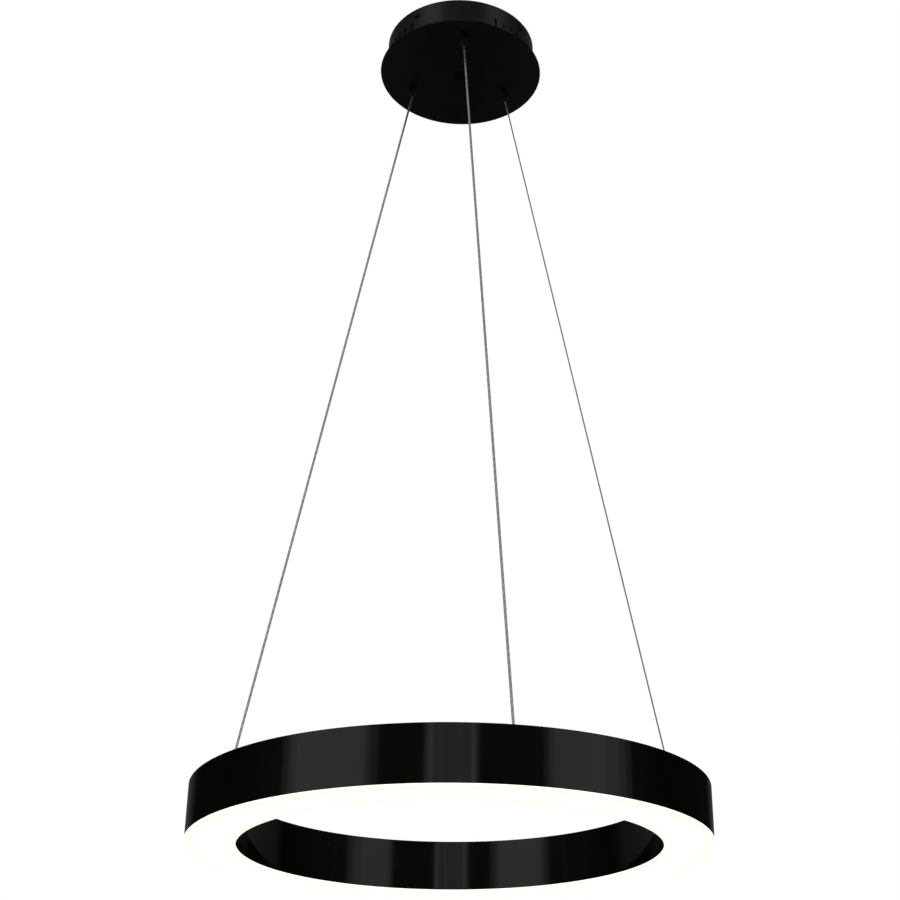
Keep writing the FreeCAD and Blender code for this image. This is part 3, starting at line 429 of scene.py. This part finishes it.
def makeWall(name, inside, outside, node):
    foot, top = ring["foot"], ring["foot"] + ring["height"]
    outline = rounded([(inside, foot), (outside, foot), (outside, top), (inside, top)], [ring["edge"]] * 4)
    points, faces = turned(outline, ring["segments"])
    piece = addPiece(name, points, faces, "ring")
    dress(piece, ringPaint)
    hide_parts(node)


makeWall("outerWallSkin", ring["radius"] - ring["wall"], ring["radius"], "outer_wall")
makeWall("innerWallSkin", ring["bore"], ring["bore"] + ring["wall"], "inner_wall")
print("stage: ring walls made")


# The three suspensions: where each grip and each anchor is turned to, and the cable's radius
sides = {
    "left": {"grip": -207.0, "anchor": 171.9, "cable": 0.0015},
    "middle": {"grip": -87.0, "anchor": -76.8, "cable": 0.0015},
    "right": {"grip": 33.0, "anchor": 9.3, "cable": 0.0010},
}


# Top plate: a flat sheet ring between the walls, a little below their edges, with a hole for each anchor
topPlate = {"inside": 0.2451, "outside": 0.2984, "under": -1.1025, "top": -1.1010, "edge": 0.0004,
            "circle": 0.27175, "hole": 0.00405, "segments": 256}


def makeTopPlate():
    inside, outside, under, top = (topPlate[word] for word in ("inside", "outside", "under", "top"))
    outline = rounded([(inside, under), (outside, under), (outside, top), (inside, top)], [topPlate["edge"]] * 4)
    points, faces = turned(outline, topPlate["segments"])
    piece = addPiece("topPlateSkin", points, faces, "ring")
    drill(piece, [polar(topPlate["circle"], side["anchor"], 0.0) for side in sides.values()], topPlate["hole"],
          under, top)
    dress(piece, ringPaint)
    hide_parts("top_plate")


makeTopPlate()


# Opal diffuser: a slab closed all round, whose lower edges are rounded; a band along each edge is painted darker
# than its middle, painted shade from the walls, and warmer, a tint of the acrylic's edge
opal = {"depth": 0.0036, "lip": 0.0004, "edge": 0.0012, "topEdge": 0.0002, "band": 0.020, "cornerSteps": 6,
        "inset": 0.003, "rows": 24}


def makeDiffuser():
    inside, outside = ring["bore"] - opal["lip"], ring["radius"] + opal["lip"]
    under, top = ring["foot"] - opal["depth"], ring["foot"]
    corners = rounded([(inside, under), (outside, under), (outside, top), (inside, top)],
                      [opal["edge"], opal["edge"], opal["topEdge"], opal["topEdge"]], opal["cornerSteps"])
    across = np.linspace(inside + opal["inset"], outside - opal["inset"], opal["rows"])
    face = np.stack([across, 0 * across + under], -1)
    corner = opal["cornerSteps"] + 3
    outline = np.concatenate([corners[:corner], face, corners[corner:]])
    points, faces = turned(outline, ring["segments"])
    piece = addPiece("opalDiffuser", points, faces, "ring")
    radius = np.hypot(points[:, 0], points[:, 1])
    # painted shade: this share is 0 at the diffuser's edges and rises to 1 across the band, so colour and glow are
    # darker at the edges
    clearOfEdgeShade = np.clip(np.minimum(radius - inside, outside - radius) / opal["band"], 0, 1)
    attribute = piece.data.attributes.new("clearOfEdgeShade", "FLOAT", "POINT")
    attribute.data.foreach_set("value", clearOfEdgeShade.astype(np.float32))
    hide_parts("diffuser")
    return piece


# Its acrylic glows by itself; the tones are those of the edge and of the middle, the edge's darker as painted shade
# from the walls and warmer as the acrylic's edge tint
opalLook = {"cloud": 14.0, "cloudShare": 0.03, "tones": ((0.86, 0.86, 0.77), (0.90, 0.90, 0.88)),
            "glow": ((0.89, 0.89, 0.80), (0.95, 0.95, 0.93)), "strength": 1.0, "wander": 200.0,
            "roughness": (0.32, 0.42), "grain": 1500.0, "relief": 0.05, "depth": 0.00005}


def makeOpal():
    material, tree, skin = newMaterial("opalAcrylic")
    # painted shade: the share picks the darker edge tones and the dimmer edge glow, which stand for the walls'
    # shade
    clearOfEdgeShade = addNode(tree, "ShaderNodeAttribute", {"attribute_name": "clearOfEdgeShade"}).outputs["Fac"]
    cloud = noise(tree, opalLook["cloud"], 3.0)
    share = math2(tree, "ADD", clearOfEdgeShade, between(tree, cloud, -opalLook["cloudShare"], opalLook["cloudShare"]))
    addRamp(tree, share, skin.inputs["Base Color"], opalLook["tones"])
    addRamp(tree, share, skin.inputs["Emission Color"], opalLook["glow"])
    skin.inputs["Emission Strength"].default_value = opalLook["strength"]
    tree.links.new(between(tree, noise(tree, opalLook["wander"]), *opalLook["roughness"]), skin.inputs["Roughness"])
    addRelief(tree, skin, opalLook["relief"], opalLook["depth"], noise(tree, opalLook["grain"]))
    return material


dress(makeDiffuser(), makeOpal())
print("stage: diffuser made")


# Canopy drum: an open strip of sheet, punched with round-ended slots in four groups
canopy = {"depth": 0.046, "radius": 0.1055, "wall": 0.0012, "edge": 0.0005, "plate": 0.002, "gripCircle": 0.079}
slots = {"low": 0.0095, "high": 0.0245, "width": 0.0034, "pitch": 7.0, "turn": -52.0, "groups": 4, "inGroup": 4,
         "endSteps": 6, "guard": 0.0008, "beltLevel": -0.012, "stationPitch": 1.25, "stationGap": 1.6,
         "tolerance": 1e-9}


def makeDrum():
    low, high = canopy["plate"] - canopy["depth"], 0.0
    slotLow, slotHigh = slots["low"] - canopy["depth"], slots["high"] - canopy["depth"]
    half = slots["width"] / 2
    arc = np.linspace(0, math.pi / 2, slots["endSteps"])
    lowEnd = slotLow + half * (1 - np.cos(arc))
    highEnd = slotHigh - half * (1 - np.cos(arc[::-1]))
    below = [low, low + canopy["edge"], slotLow - slots["guard"]]
    above = [slotHigh + slots["guard"], slots["beltLevel"], high - canopy["edge"], high]
    levels = np.concatenate([below, lowEnd, highEnd, above])
    first, last = len(below), len(below) + 2 * slots["endSteps"] - 1
    opening = np.zeros(len(levels))
    opening[first:last + 1] = np.concatenate([np.sin(arc), np.sin(arc[::-1])])
    opening[first] = opening[last] = 0.0
    centres = [slots["turn"] + 360 / slots["groups"] * group + (k - (slots["inGroup"] - 1) / 2) * slots["pitch"]
               for group in range(slots["groups"]) for k in range(slots["inGroup"])]
    slotAngle = math.degrees(half / canopy["radius"])
    stations, side, centre = [], [], []
    for middle in sorted(c % 360 for c in centres):
        for sign in (-1, 1):
            stations.append(middle + sign * slotAngle)
            side.append(sign)
            centre.append(middle)
    plain = [a for a in np.arange(0, 360, slots["stationPitch"])
             if min(abs((a - m + 180) % 360 - 180) for m in centres) > slots["stationGap"]]
    stations, centre = np.array(stations + plain), np.array(centre + plain)
    side = np.array(side + [0] * len(plain))
    order = np.argsort(stations)
    stations, side, centre = stations[order], side[order], centre[order]
    inSlot = (levels >= slotLow - slots["tolerance"]) & (levels <= slotHigh + slots["tolerance"])
    width = np.where(inSlot, opening, 1.0)
    angle = np.where(side[:, None] == 0, stations[:, None] + 0 * width[None, :],
                     centre[:, None] + side[:, None] * slotAngle * width[None, :])
    angle = np.radians(angle)
    outer = np.stack([canopy["radius"] * np.cos(angle), canopy["radius"] * np.sin(angle),
                      levels[None, :] + 0 * angle], -1)
    inner = outer - np.stack([np.cos(angle), np.sin(angle), 0 * angle], -1) * canopy["wall"]
    rows, columns = len(stations), len(levels)
    cells = gridFaces(rows, columns, True, False)
    row, column = cells[:, 0] // columns, cells[:, 0] % columns
    solid = cells[(side[row] != -1) | (column < first) | (column >= last)]
    count = rows * columns
    ladder = np.arange(rows)
    after = (ladder + 1) % rows
    foot = np.stack([ladder * columns, ladder * columns + count, after * columns + count, after * columns], -1)
    top = np.stack([ladder * columns, after * columns, after * columns + count, ladder * columns + count], -1)
    top = top + columns - 1
    gapRows = np.nonzero(side == -1)[0]
    r, c = (grid.reshape(-1) for grid in np.meshgrid(gapRows, np.arange(first, last), indexing="ij"))
    left = r * columns + c
    leftWall = np.stack([left, left + count, left + 1 + count, left + 1], -1)
    right = ((r + 1) % rows) * columns + c
    rightWall = np.stack([right, right + 1, right + 1 + count, right + count], -1)
    faces = [solid, solid[:, ::-1] + count, foot, top, leftWall, rightWall]
    points = np.concatenate([outer.reshape(-1, 3), inner.reshape(-1, 3)])
    piece = addPiece("canopyDrum", points, faces, "canopy")
    weld(piece)
    dress(piece, canopyPaint)
    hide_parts("canopy_drum")


makeDrum()


# Face plate: a disc with a rolled edge, the hole for its cap and the three that the grips go through
plate = {"radius": 0.1155, "bore": 0.0101, "boreEdge": 0.0002, "rimEdge": 0.0008, "gripHole": 0.00405,
         "segments": 256}


def makePlate():
    low, high = -canopy["depth"], canopy["plate"] - canopy["depth"]
    bore, radius = plate["bore"], plate["radius"]
    outline = rounded([(bore, low), (radius, low), (radius, high), (bore, high)],
                      [plate["boreEdge"], plate["rimEdge"], plate["rimEdge"], plate["boreEdge"]])
    points, faces = turned(outline, plate["segments"])
    piece = addPiece("canopyPlate", points, faces, "canopy")
    drill(piece, [polar(canopy["gripCircle"], side["grip"], 0.0) for side in sides.values()], plate["gripHole"],
          low, high)
    dress(piece, canopyPaint)
    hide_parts("face_plate")


makePlate()
print("stage: canopy made")


# Centre cap: a blanking disc with a dished middle, seen through the plate's hole
cap = {"thickness": 0.0012, "eye": 0.0004, "dish": 0.0070, "slope": 0.0082, "rim": 0.0085, "shoulder": 0.0127,
       "radius": 0.0130, "dishDepth": 0.0005, "step": 0.0001, "edge": 0.0003, "segments": 96}


def makeCap():
    low, high = canopy["plate"] - canopy["depth"], canopy["plate"] + cap["thickness"] - canopy["depth"]
    profile = [(cap["eye"], low + cap["dishDepth"]), (cap["dish"], low + cap["dishDepth"]),
               (cap["slope"], low + cap["step"]), (cap["rim"], low), (cap["shoulder"], low),
               (cap["radius"], low + cap["edge"]), (cap["radius"], high - cap["edge"]), (cap["shoulder"], high),
               (cap["rim"], high), (cap["slope"], high - cap["step"]), (cap["dish"], high - cap["step"]),
               (cap["eye"], high - cap["step"])]
    points, faces = spindle(np.array(profile), cap["segments"])
    piece = addPiece("centreCap", points, faces, "canopy")
    dress(piece, finishes["capBlack"])
    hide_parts("centre_cap")


makeCap()


# Side screws: knurled thumb screws with a threaded stem, laid along the drum's radius
knob = {"turn": -36.5, "level": -0.011, "seat": 0.1056, "radius": 0.0036, "length": 0.0032, "stem": 0.002,
        "reach": 0.007, "pitch": 0.0007, "threadDepth": 0.00025, "threadStart": 0.0005, "threadStop": 0.0012,
        "tip": 0.0004, "eye": 0.0004, "baseEdge": 0.0003, "topEdge": 0.0004, "beltLow": 0.0011, "beltHigh": 0.0021,
        "dishRim": 0.0023, "dish": 0.0020, "dishDepth": 0.0003, "segments": 144, "ridges": 24,
        "ridgeDepth": 0.00028, "ridgeAbove": 0.0034}


def makeKnobs():
    stem, radius, length, reach = knob["stem"], knob["radius"], knob["length"], knob["reach"]
    thread = threadRows(stem, -reach + knob["threadStart"], -knob["threadStop"], knob["pitch"],
                        knob["threadDepth"])
    head = [(stem, 0.0), (radius - knob["baseEdge"], 0.0), (radius, knob["baseEdge"]), (radius, knob["beltLow"]),
            (radius, knob["beltHigh"]), (radius, length - knob["topEdge"]), (radius - knob["topEdge"], length),
            (knob["dishRim"], length), (knob["dish"], length - knob["dishDepth"]),
            (knob["eye"], length - knob["dishDepth"])]
    profile = np.concatenate([[(knob["eye"], -reach), (stem - knob["tip"], -reach)], thread, head])
    knurl = (knob["ridges"], knob["ridgeDepth"], knob["ridgeAbove"])
    parts = []
    for quarter in range(4):
        points, faces = spindle(profile, knob["segments"], knurl)
        turn = math.radians(knob["turn"] + 90 * quarter)
        outward = np.array((math.cos(turn), math.sin(turn), 0.0))
        aside = np.array((-math.sin(turn), math.cos(turn), 0.0))
        placed = (points[:, :1] * aside + points[:, 1:2] * np.array((0.0, 0.0, 1.0))
                  + (points[:, 2:] + knob["seat"]) * outward + np.array((0.0, 0.0, knob["level"])))
        parts.append((placed, faces))
    points, faces = joined(parts)
    piece = addPiece("thumbScrews", points, faces, "canopy")
    dress(piece, finishes["screwBlack"])
    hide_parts("side_screws")


makeKnobs()


# Cable grips: turned bodies, hollow, with a grooved head below the plate and a threaded shank above it
grips = {"length": 0.0105, "head": 0.00525, "shank": 0.0040, "rise": 0.0135, "guide": 0.00236,
         "taperLow": 0.00275, "taperHigh": 0.0032, "bore": 0.00126, "nose": 0.003, "lid": 0.0015,
         "chamfer": 0.0002, "footEdge": 0.0010, "footRise": 0.0012,
         "groove": ((0.0, -0.0052), (0.0004, -0.0048), (0.0004, -0.0042), (0.0, -0.0038)),
         "edges": (0.0003, 0.0003, 0.0004, 0.0001, 0.0001, 0.0001, 0.0001, 0.0002, 0.0001),
         "threadStart": 0.0022, "threadStop": 0.0008, "pitch": 0.00075, "threadDepth": 0.0003, "segments": 72,
         "sharp": 28.0}


def gripOutline():
    head, shank, rise, bore = (grips[word] for word in ("head", "shank", "rise", "bore"))
    low = -grips["length"]
    body = rounded([(grips["guide"], low), (head - grips["footEdge"], low), (head, low + grips["footRise"]),
                    *((head - depth, level) for depth, level in grips["groove"]), (head, 0.0), (shank, 0.0)],
                   grips["edges"], 3)
    thread = threadRows(shank, grips["threadStart"], rise - grips["threadStop"], grips["pitch"],
                        grips["threadDepth"])
    inside = [(shank - grips["threadDepth"], rise), (bore + grips["chamfer"], rise),
              (bore, rise - grips["chamfer"]), (bore, rise - grips["lid"]),
              (grips["taperHigh"], rise - grips["lid"]), (grips["taperLow"], low + grips["nose"]),
              (grips["guide"], low + grips["nose"])]
    return np.concatenate([body, thread, inside])


def makeGrips():
    parts = []
    for side in sides.values():
        centre = polar(canopy["gripCircle"], side["grip"], -canopy["depth"])
        parts.append(turned(gripOutline(), grips["segments"], centre))
    points, faces = joined(parts)
    piece = addPiece("gripBodies", points, faces, "canopy", grips["sharp"])
    dress(piece, finishes["gripBlack"])
    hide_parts("grip_bodies")


makeGrips()


# Plungers: thin tubes with a rounded mouth and a flange inside the grip
plunger = {"reach": 0.002, "radius": 0.0023, "bore": 0.00156, "flangeLow": 0.00505, "flangeTop": 0.00605,
           "flange": 0.0003, "edges": (0.0002, 0.0004, 0.0001, 0.0001, 0.0001, 0.0002), "segments": 64}
gripMouth = -canopy["depth"] - grips["length"] - plunger["reach"]


def makePlunger(word, side):
    radius, bore, rim = plunger["radius"], plunger["bore"], plunger["radius"] + plunger["flange"]
    flange, top = gripMouth + plunger["flangeLow"], gripMouth + plunger["flangeTop"]
    outline = rounded([(bore, gripMouth), (radius, gripMouth), (radius, flange), (rim, flange), (rim, top),
                       (bore, top)], plunger["edges"], 5)
    points, faces = turned(outline, plunger["segments"], polar(canopy["gripCircle"], side["grip"], 0.0))
    piece = addPiece("plungerTube_" + word, points, faces, "grip_" + word)
    dress(piece, finishes["gripBlack"])
    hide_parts("plunger_" + word)


for word, side in sides.items():
    makePlunger(word, side)


# Grip springs: a round wire wound on a helix whose pitch closes at both ends; a pushed plunger presses it
coil = {"foot": -0.04645, "top": -0.0340, "radius": 0.00224, "wire": 0.00022, "turns": 6.5, "stroke": 0.0015,
        "closed": (0, 0.14, 0.86, 1), "steps": 260, "sides": 8}


def makeSpring(word, side):
    steps, sides = coil["steps"], coil["sides"]
    share = np.linspace(0, 1, steps)
    wind = 2 * math.pi * coil["turns"] * share
    low, high = coil["foot"] + coil["wire"], coil["top"] - coil["wire"]
    height = np.interp(share, coil["closed"], [low, low + 2 * coil["wire"], high - 2 * coil["wire"], high])
    outward = np.stack([np.cos(wind), np.sin(wind), 0 * wind], -1)
    middle = coil["radius"] * outward + np.stack([0 * wind, 0 * wind, height], -1)
    tangent = np.gradient(middle, axis=0)
    tangent /= np.linalg.norm(tangent, axis=1)[:, None]
    aside = np.cross(tangent, outward)
    around = np.linspace(0, 2 * math.pi, sides, endpoint=False)[None, :, None]
    points = middle[:, None, :] + coil["wire"] * (outward[:, None, :] * np.cos(around)
                                                  + aside[:, None, :] * np.sin(around))
    place = polar(canopy["gripCircle"], side["grip"], 0.0)
    caps = np.stack([np.arange(sides)[::-1], (steps - 1) * sides + np.arange(sides)])
    faces = [gridFaces(steps, sides, False, True)[:, ::-1], caps]
    piece = addPiece("coilSpring_" + word, points.reshape(-1, 3) + np.array(place), faces, "canopy")
    dress(piece, finishes["springSteel"])
    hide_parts("spring_" + word)
    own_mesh(piece)


for word, side in sides.items():
    makeSpring(word, side)
print("stage: grips made")


# Cable anchors: bushes with a hexagonal flange, a round neck above and a threaded shank below
anchors = {"mouth": -1.094, "flats": 0.0130, "flange": 0.004, "neck": 0.0050, "shank": 0.0040, "seat": -1.101,
           "foot": -1.1105, "play": 0.00005, "crown": 0.0002, "hexAbove": 0.0052,
           "edges": (0.0002, 0.0004, 0.0001, 0.0002, 0.0004, 0.0002, 0.0008, 0.0004), "segments": 96,
           "sharp": 28.0}


def makeAnchors():
    parts = []
    for side in sides.values():
        bore, neck, half = side["cable"] + anchors["play"], anchors["neck"], anchors["flats"] / 2
        flangeTop = anchors["seat"] + anchors["flange"]
        outline = rounded([(bore, anchors["foot"]), (anchors["shank"], anchors["foot"]),
                           (anchors["shank"], anchors["seat"]), (half, anchors["seat"]), (half, flangeTop),
                           (neck, flangeTop + anchors["crown"]), (neck, anchors["mouth"]),
                           (bore, anchors["mouth"])], anchors["edges"], 5)
        parts.append(turned(outline, anchors["segments"], polar(topPlate["circle"], side["anchor"], 0.0),
                            anchors["hexAbove"]))
    points, faces = joined(parts)
    piece = addPiece("cableAnchors", points, faces, "ring", anchors["sharp"])
    dress(piece, finishes["anchorBlack"])
    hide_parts("cable_anchors")


makeAnchors()
print("stage: anchors made")


# Free cables: straight from each grip's mouth to its anchor; in the two power cables the twisted cores show
# through the sheath as a helix of two tones
cableFacts = {"rise": 1.0355, "travel": 0.7, "corePitch": 0.018, "rings": 1300, "around": 14, "ropePitch": 0.011,
              "strands": 6, "strandSides": 6, "strandSteps": 900, "coreSteps": 30}
sheathLook = {"worn": 260.0, "wornStretch": (1.0, 1.0, 0.2), "wornShare": 0.15, "coat": 0.4, "coatRoughness": 0.12,
              "tones": ((0.56, 0.545, 0.515), (0.84, 0.82, 0.78)), "toneSpan": (0.15, 0.85)}


def makeSheath():
    material = makeFinish("cableSheath", (grey(0.10, 0.03), grey(0.14, 0.03)), (0.22, 0.34), 700.0,
                          (1.0, 1.0, 0.3), 0.05, Metallic=0.9)
    tree = material.node_tree
    skin = tree.nodes["Principled BSDF"]
    lay = addNode(tree, "ShaderNodeAttribute", {"attribute_name": "lay"}).outputs["Fac"]
    wear = noise(tree, sheathLook["worn"], 3.0, sheathLook["wornStretch"])
    worn = math2(tree, "ADD", lay, between(tree, wear, -sheathLook["wornShare"], sheathLook["wornShare"]))
    addRamp(tree, worn, skin.inputs["Base Color"], sheathLook["tones"], sheathLook["toneSpan"])
    skin.inputs["Coat Weight"].default_value = sheathLook["coat"]
    skin.inputs["Coat Roughness"].default_value = sheathLook["coatRoughness"]
    return material


def makeCable(word, side, sheath):
    start = np.array(polar(canopy["gripCircle"], side["grip"], gripMouth))
    end = np.array(polar(topPlate["circle"], side["anchor"], anchors["mouth"]))
    line = splinePoints([start, (start + end) / 2, end])
    length = float(np.linalg.norm(end - start))
    if word == "right":
        strand, sides = side["cable"] / 3, cableFacts["strandSides"]
        wound = [tubeAlong(line, strand, sides, cableFacts["strandSteps"], 2 * strand, cableFacts["ropePitch"],
                           2 * math.pi * k / cableFacts["strands"]) for k in range(cableFacts["strands"])]
        points, faces = joined(wound + [tubeAlong(line, strand, sides, cableFacts["coreSteps"])])
        cable = addPiece("cableRun_right", points, faces, "canopy")
        dress(cable, finishes["ropeSteel"])
    else:
        rings, around = cableFacts["rings"], cableFacts["around"]
        points, faces = tubeAlong(line, side["cable"], around, rings)
        cable = addPiece("cableRun_" + word, points, faces, "canopy")
        along, about = np.meshgrid(np.linspace(0, length, rings), np.arange(around) * 2 * math.pi / around,
                                   indexing="ij")
        lay = 0.5 + 0.5 * np.cos(2 * (about - 2 * math.pi * along / cableFacts["corePitch"]))
        attribute = cable.data.attributes.new("lay", "FLOAT", "POINT")
        attribute.data.foreach_set("value", lay.reshape(-1).astype(np.float32))
        dress(cable, sheath)
    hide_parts("cable_" + word)
    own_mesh(cable)


cableSheath = makeSheath()
for word, side in sides.items():
    makeCable(word, side, cableSheath)
print("stage: cables made")


# Studio: white to the camera, light for surfaces that is plain above and weak below, and for reflections tall
# panels with dark between them, white behind the lamp. Ranges of turn are in degrees, but the front's is in
# radians; ranges of height are of the ray's upright part, with their softness; front and sky go on with their
# levels at both ends
studio = {
    "panels": ((-12, 11), (38, 76), (112, 140)), "panelSoft": 0.10, "panelRise": (-0.45, 0.06, 0.06),
    "panelLevel": 0.5, "behind": (168, 190), "behindSoft": 0.05, "behindRise": (-0.2, 0.7, 0.06),
    "above": (0.48, 2.0, 0.08), "aboveLevel": 0.03, "under": (-2.0, -0.42, 0.08), "underLevel": 0.012,
    "front": (1.2, 1.9, 0.05, 0.006), "sky": (-0.12, 0.3, 0.05, 1.0), "mirror": (1.0, 1.0, 0.94, 1.0),
    "white": (1.0, 1.0, 1.0, 1.0),
}


def makeStudio():
    world = bpy.data.worlds.new("studio")
    scene.world = world
    world.use_nodes = True
    tree = world.node_tree
    tree.nodes.clear()
    place = addNode(tree, "ShaderNodeTexCoord").outputs["Generated"]
    split = addNode(tree, "ShaderNodeSeparateXYZ", None, Vector=place)
    x, y, z = split.outputs
    azimuth = math2(tree, "ARCTAN2", x, math2(tree, "MULTIPLY", y, -1.0))
    turn = math2(tree, "ABSOLUTE", azimuth)

    def window(source, start, stop, soft):
        up = smoothStep(tree, source, start - soft, start + soft)
        down = smoothStep(tree, source, stop - soft, stop + soft, 1.0, 0.0)
        return math2(tree, "MULTIPLY", up, down)

    panels = 0.0
    for start, stop in studio["panels"]:
        band = window(turn, math.radians(start), math.radians(stop), studio["panelSoft"])
        panels = math2(tree, "ADD", panels, band)
    low = math2(tree, "MULTIPLY", panels, window(z, *studio["panelRise"]))
    low = math2(tree, "MULTIPLY", low, studio["panelLevel"])
    start, stop = (math.radians(degrees) for degrees in studio["behind"])
    behind = math2(tree, "MULTIPLY", window(turn, start, stop, studio["behindSoft"]),
                   window(z, *studio["behindRise"]))
    above = math2(tree, "MULTIPLY", window(z, *studio["above"]), studio["aboveLevel"])
    front = smoothStep(tree, turn, *studio["front"])
    under = math2(tree, "MULTIPLY", window(z, *studio["under"]), studio["underLevel"])
    gloss = math2(tree, "ADD", math2(tree, "ADD", low, behind), math2(tree, "ADD", above, front))
    gloss = math2(tree, "ADD", gloss, under)
    sky = smoothStep(tree, z, *studio["sky"])
    path = addNode(tree, "ShaderNodeLightPath")
    plain = addNode(tree, "ShaderNodeBackground", None, Color=studio["white"], Strength=sky)
    white = addNode(tree, "ShaderNodeBackground", None, Color=studio["white"], Strength=1.0)
    mirror = addNode(tree, "ShaderNodeBackground", None, Color=studio["mirror"], Strength=gloss)
    first = addNode(tree, "ShaderNodeMixShader", None, i0=path.outputs["Is Glossy Ray"], i1=plain.outputs[0],
                    i2=mirror.outputs[0])
    clear = math2(tree, "MAXIMUM", path.outputs["Is Camera Ray"], path.outputs["Is Transmission Ray"])
    second = addNode(tree, "ShaderNodeMixShader", None, i0=clear, i1=first.outputs[0], i2=white.outputs[0])
    output = addNode(tree, "ShaderNodeOutputWorld")
    tree.links.new(second.outputs[0], output.inputs["Surface"])


makeStudio()


# Softboxes that the gloss paint shows: each is a stack of sheets in plan, whose different widths soften its
# edges, with the radiance of every sheet
softboxes = {
    "left": (0.135, [((-0.938, -0.446), (-0.400, -0.845)), ((-0.892, -0.479), (-0.437, -0.818)),
                     ((-0.869, -0.497), (-0.458, -0.802)), ((-0.833, -0.524), (-0.469, -0.794))]),
    "right": (0.125, [((0.973, -1.382), (0.865, -0.333)), ((0.964, -1.290), (0.869, -0.378)),
                      ((0.960, -1.255), (0.875, -0.436)), ((0.951, -1.169), (0.887, -0.550))]),
    "centre": (0.30, [((-0.430, -2.31), (0.415, -2.31))]),
    "strips": (0.32, [((-0.357, -2.30), (-0.297, -2.30)), ((0.300, -2.30), (0.358, -2.30))]),
    "faint": (0.08, [((-0.200, -2.29), (-0.125, -2.29)), ((0.090, -2.29), (0.165, -2.29))]),
    "back": (0.02, [((0.500, 0.450), (0.100, 0.740)), ((0.541, 0.433), (0.106, 0.748)),
                    ((0.582, 0.415), (0.112, 0.756)), ((-0.100, 0.740), (-0.530, 0.428)),
                    ((-0.106, 0.748), (-0.581, 0.404)), ((-0.112, 0.756), (-0.632, 0.379))]),
}
boxFacts = {"foot": -1.3, "top": 1.4}


def addSoftbox(word, start, end, radiance):
    start, end = Vector((*start, boxFacts["foot"])), Vector((*end, boxFacts["foot"]))
    width, height = (end - start).length, boxFacts["top"] - boxFacts["foot"]
    lamp = bpy.data.lights.new("softbox_" + word, "AREA")
    lamp.shape = "RECTANGLE"
    lamp.size, lamp.size_y = width, height
    lamp.energy = radiance * math.pi * width * height
    holder = bpy.data.objects.new("softbox_" + word, lamp)
    scene.collection.objects.link(holder)
    along, up = (end - start) / width, Vector((0.0, 0.0, 1.0))
    back = along.cross(up)
    turn = Matrix([[column[row] for column in (along, up, back)] for row in range(3)])
    holder.matrix_world = Matrix.Translation((start + end) / 2 + up * height / 2) @ turn.to_4x4()
    holder.visible_camera = False
    holder.visible_diffuse = False


for word, (radiance, sheets) in softboxes.items():
    for index, (start, end) in enumerate(sheets):
        addSoftbox("%s_%d" % (word, index), start, end, radiance)


# Disc of the studio, one flat face that looks up or down
def addDisc(name, facts, order):
    angle = np.linspace(0, 2 * math.pi, facts["corners"], endpoint=False)
    radius, level = facts["radius"], facts["level"]
    rim = np.stack([radius * np.cos(angle), radius * np.sin(angle), 0 * angle + level], -1)
    disc = bpy.data.objects.new(name, meshFrom(name, rim, [np.arange(facts["corners"])[None, ::order]]))
    scene.collection.objects.link(disc)
    return disc


# Painted shade over the canopy's open top: a near-black sheet in the ceiling's place, dark from below, so that the
# vent slots look into a dark drum, and clear from above and to shadow and diffuse rays, so that it casts no shade
# of its own
shadeSheetFacts = {"radius": 0.1042, "level": 0.0004, "corners": 64}


def makePaintedShadeSheet():
    shadeSheet = addDisc("paintedShadeSheet", shadeSheetFacts, -1)
    # painted shade: near-black tones stand for the ceiling lying in the drum's shade
    material = makeFinish("paintedShadeSkin", (grey(0.006), grey(0.010)), (0.8, 0.9), 40.0)
    tree = material.node_tree
    skin = tree.nodes["Principled BSDF"]
    above = addNode(tree, "ShaderNodeNewGeometry").outputs["Backfacing"]
    shadow = addNode(tree, "ShaderNodeLightPath").outputs["Is Shadow Ray"]
    diffuse = addNode(tree, "ShaderNodeLightPath").outputs["Is Diffuse Ray"]
    hidden = math2(tree, "MAXIMUM", above, math2(tree, "MAXIMUM", shadow, diffuse))
    clear = addNode(tree, "ShaderNodeBsdfTransparent")
    mix = addNode(tree, "ShaderNodeMixShader", None, i0=hidden, i1=skin.outputs[0], i2=clear.outputs[0])
    tree.links.new(mix.outputs[0], tree.nodes["Material Output"].inputs["Surface"])
    dress(shadeSheet, material)


makePaintedShadeSheet()


# Pale floor, well below the lamp: a wide disc that fades into the white round it
floorFacts = {"radius": 14.0, "level": -6.0, "corners": 96, "fadeStart": 4.0, "fadeStop": 13.0}


def makeFloor():
    floor = addDisc("studioFloor", floorFacts, 1)
    material = makeFinish("floorPale", (grey(0.76), grey(0.8)), (0.7, 0.85), 3.0, bump=0.02)
    tree = material.node_tree
    place = addNode(tree, "ShaderNodeTexCoord").outputs["Object"]
    flat = addNode(tree, "ShaderNodeVectorMath", {"operation": "MULTIPLY"}, i0=place, i1=(1.0, 1.0, 0.0))
    away = addNode(tree, "ShaderNodeVectorMath", {"operation": "LENGTH"}, i0=flat.outputs[0]).outputs["Value"]
    fade = smoothStep(tree, away, floorFacts["fadeStart"], floorFacts["fadeStop"])
    clear = addNode(tree, "ShaderNodeBsdfTransparent")
    mix = addNode(tree, "ShaderNodeMixShader", None, i0=fade, i1=tree.nodes["Principled BSDF"].outputs[0],
                  i2=clear.outputs[0])
    tree.links.new(mix.outputs[0], tree.nodes["Material Output"].inputs["Surface"])
    dress(floor, material)
    floor.visible_glossy = False
    floor.visible_diffuse = False


makeFloor()
print("stage: studio made")
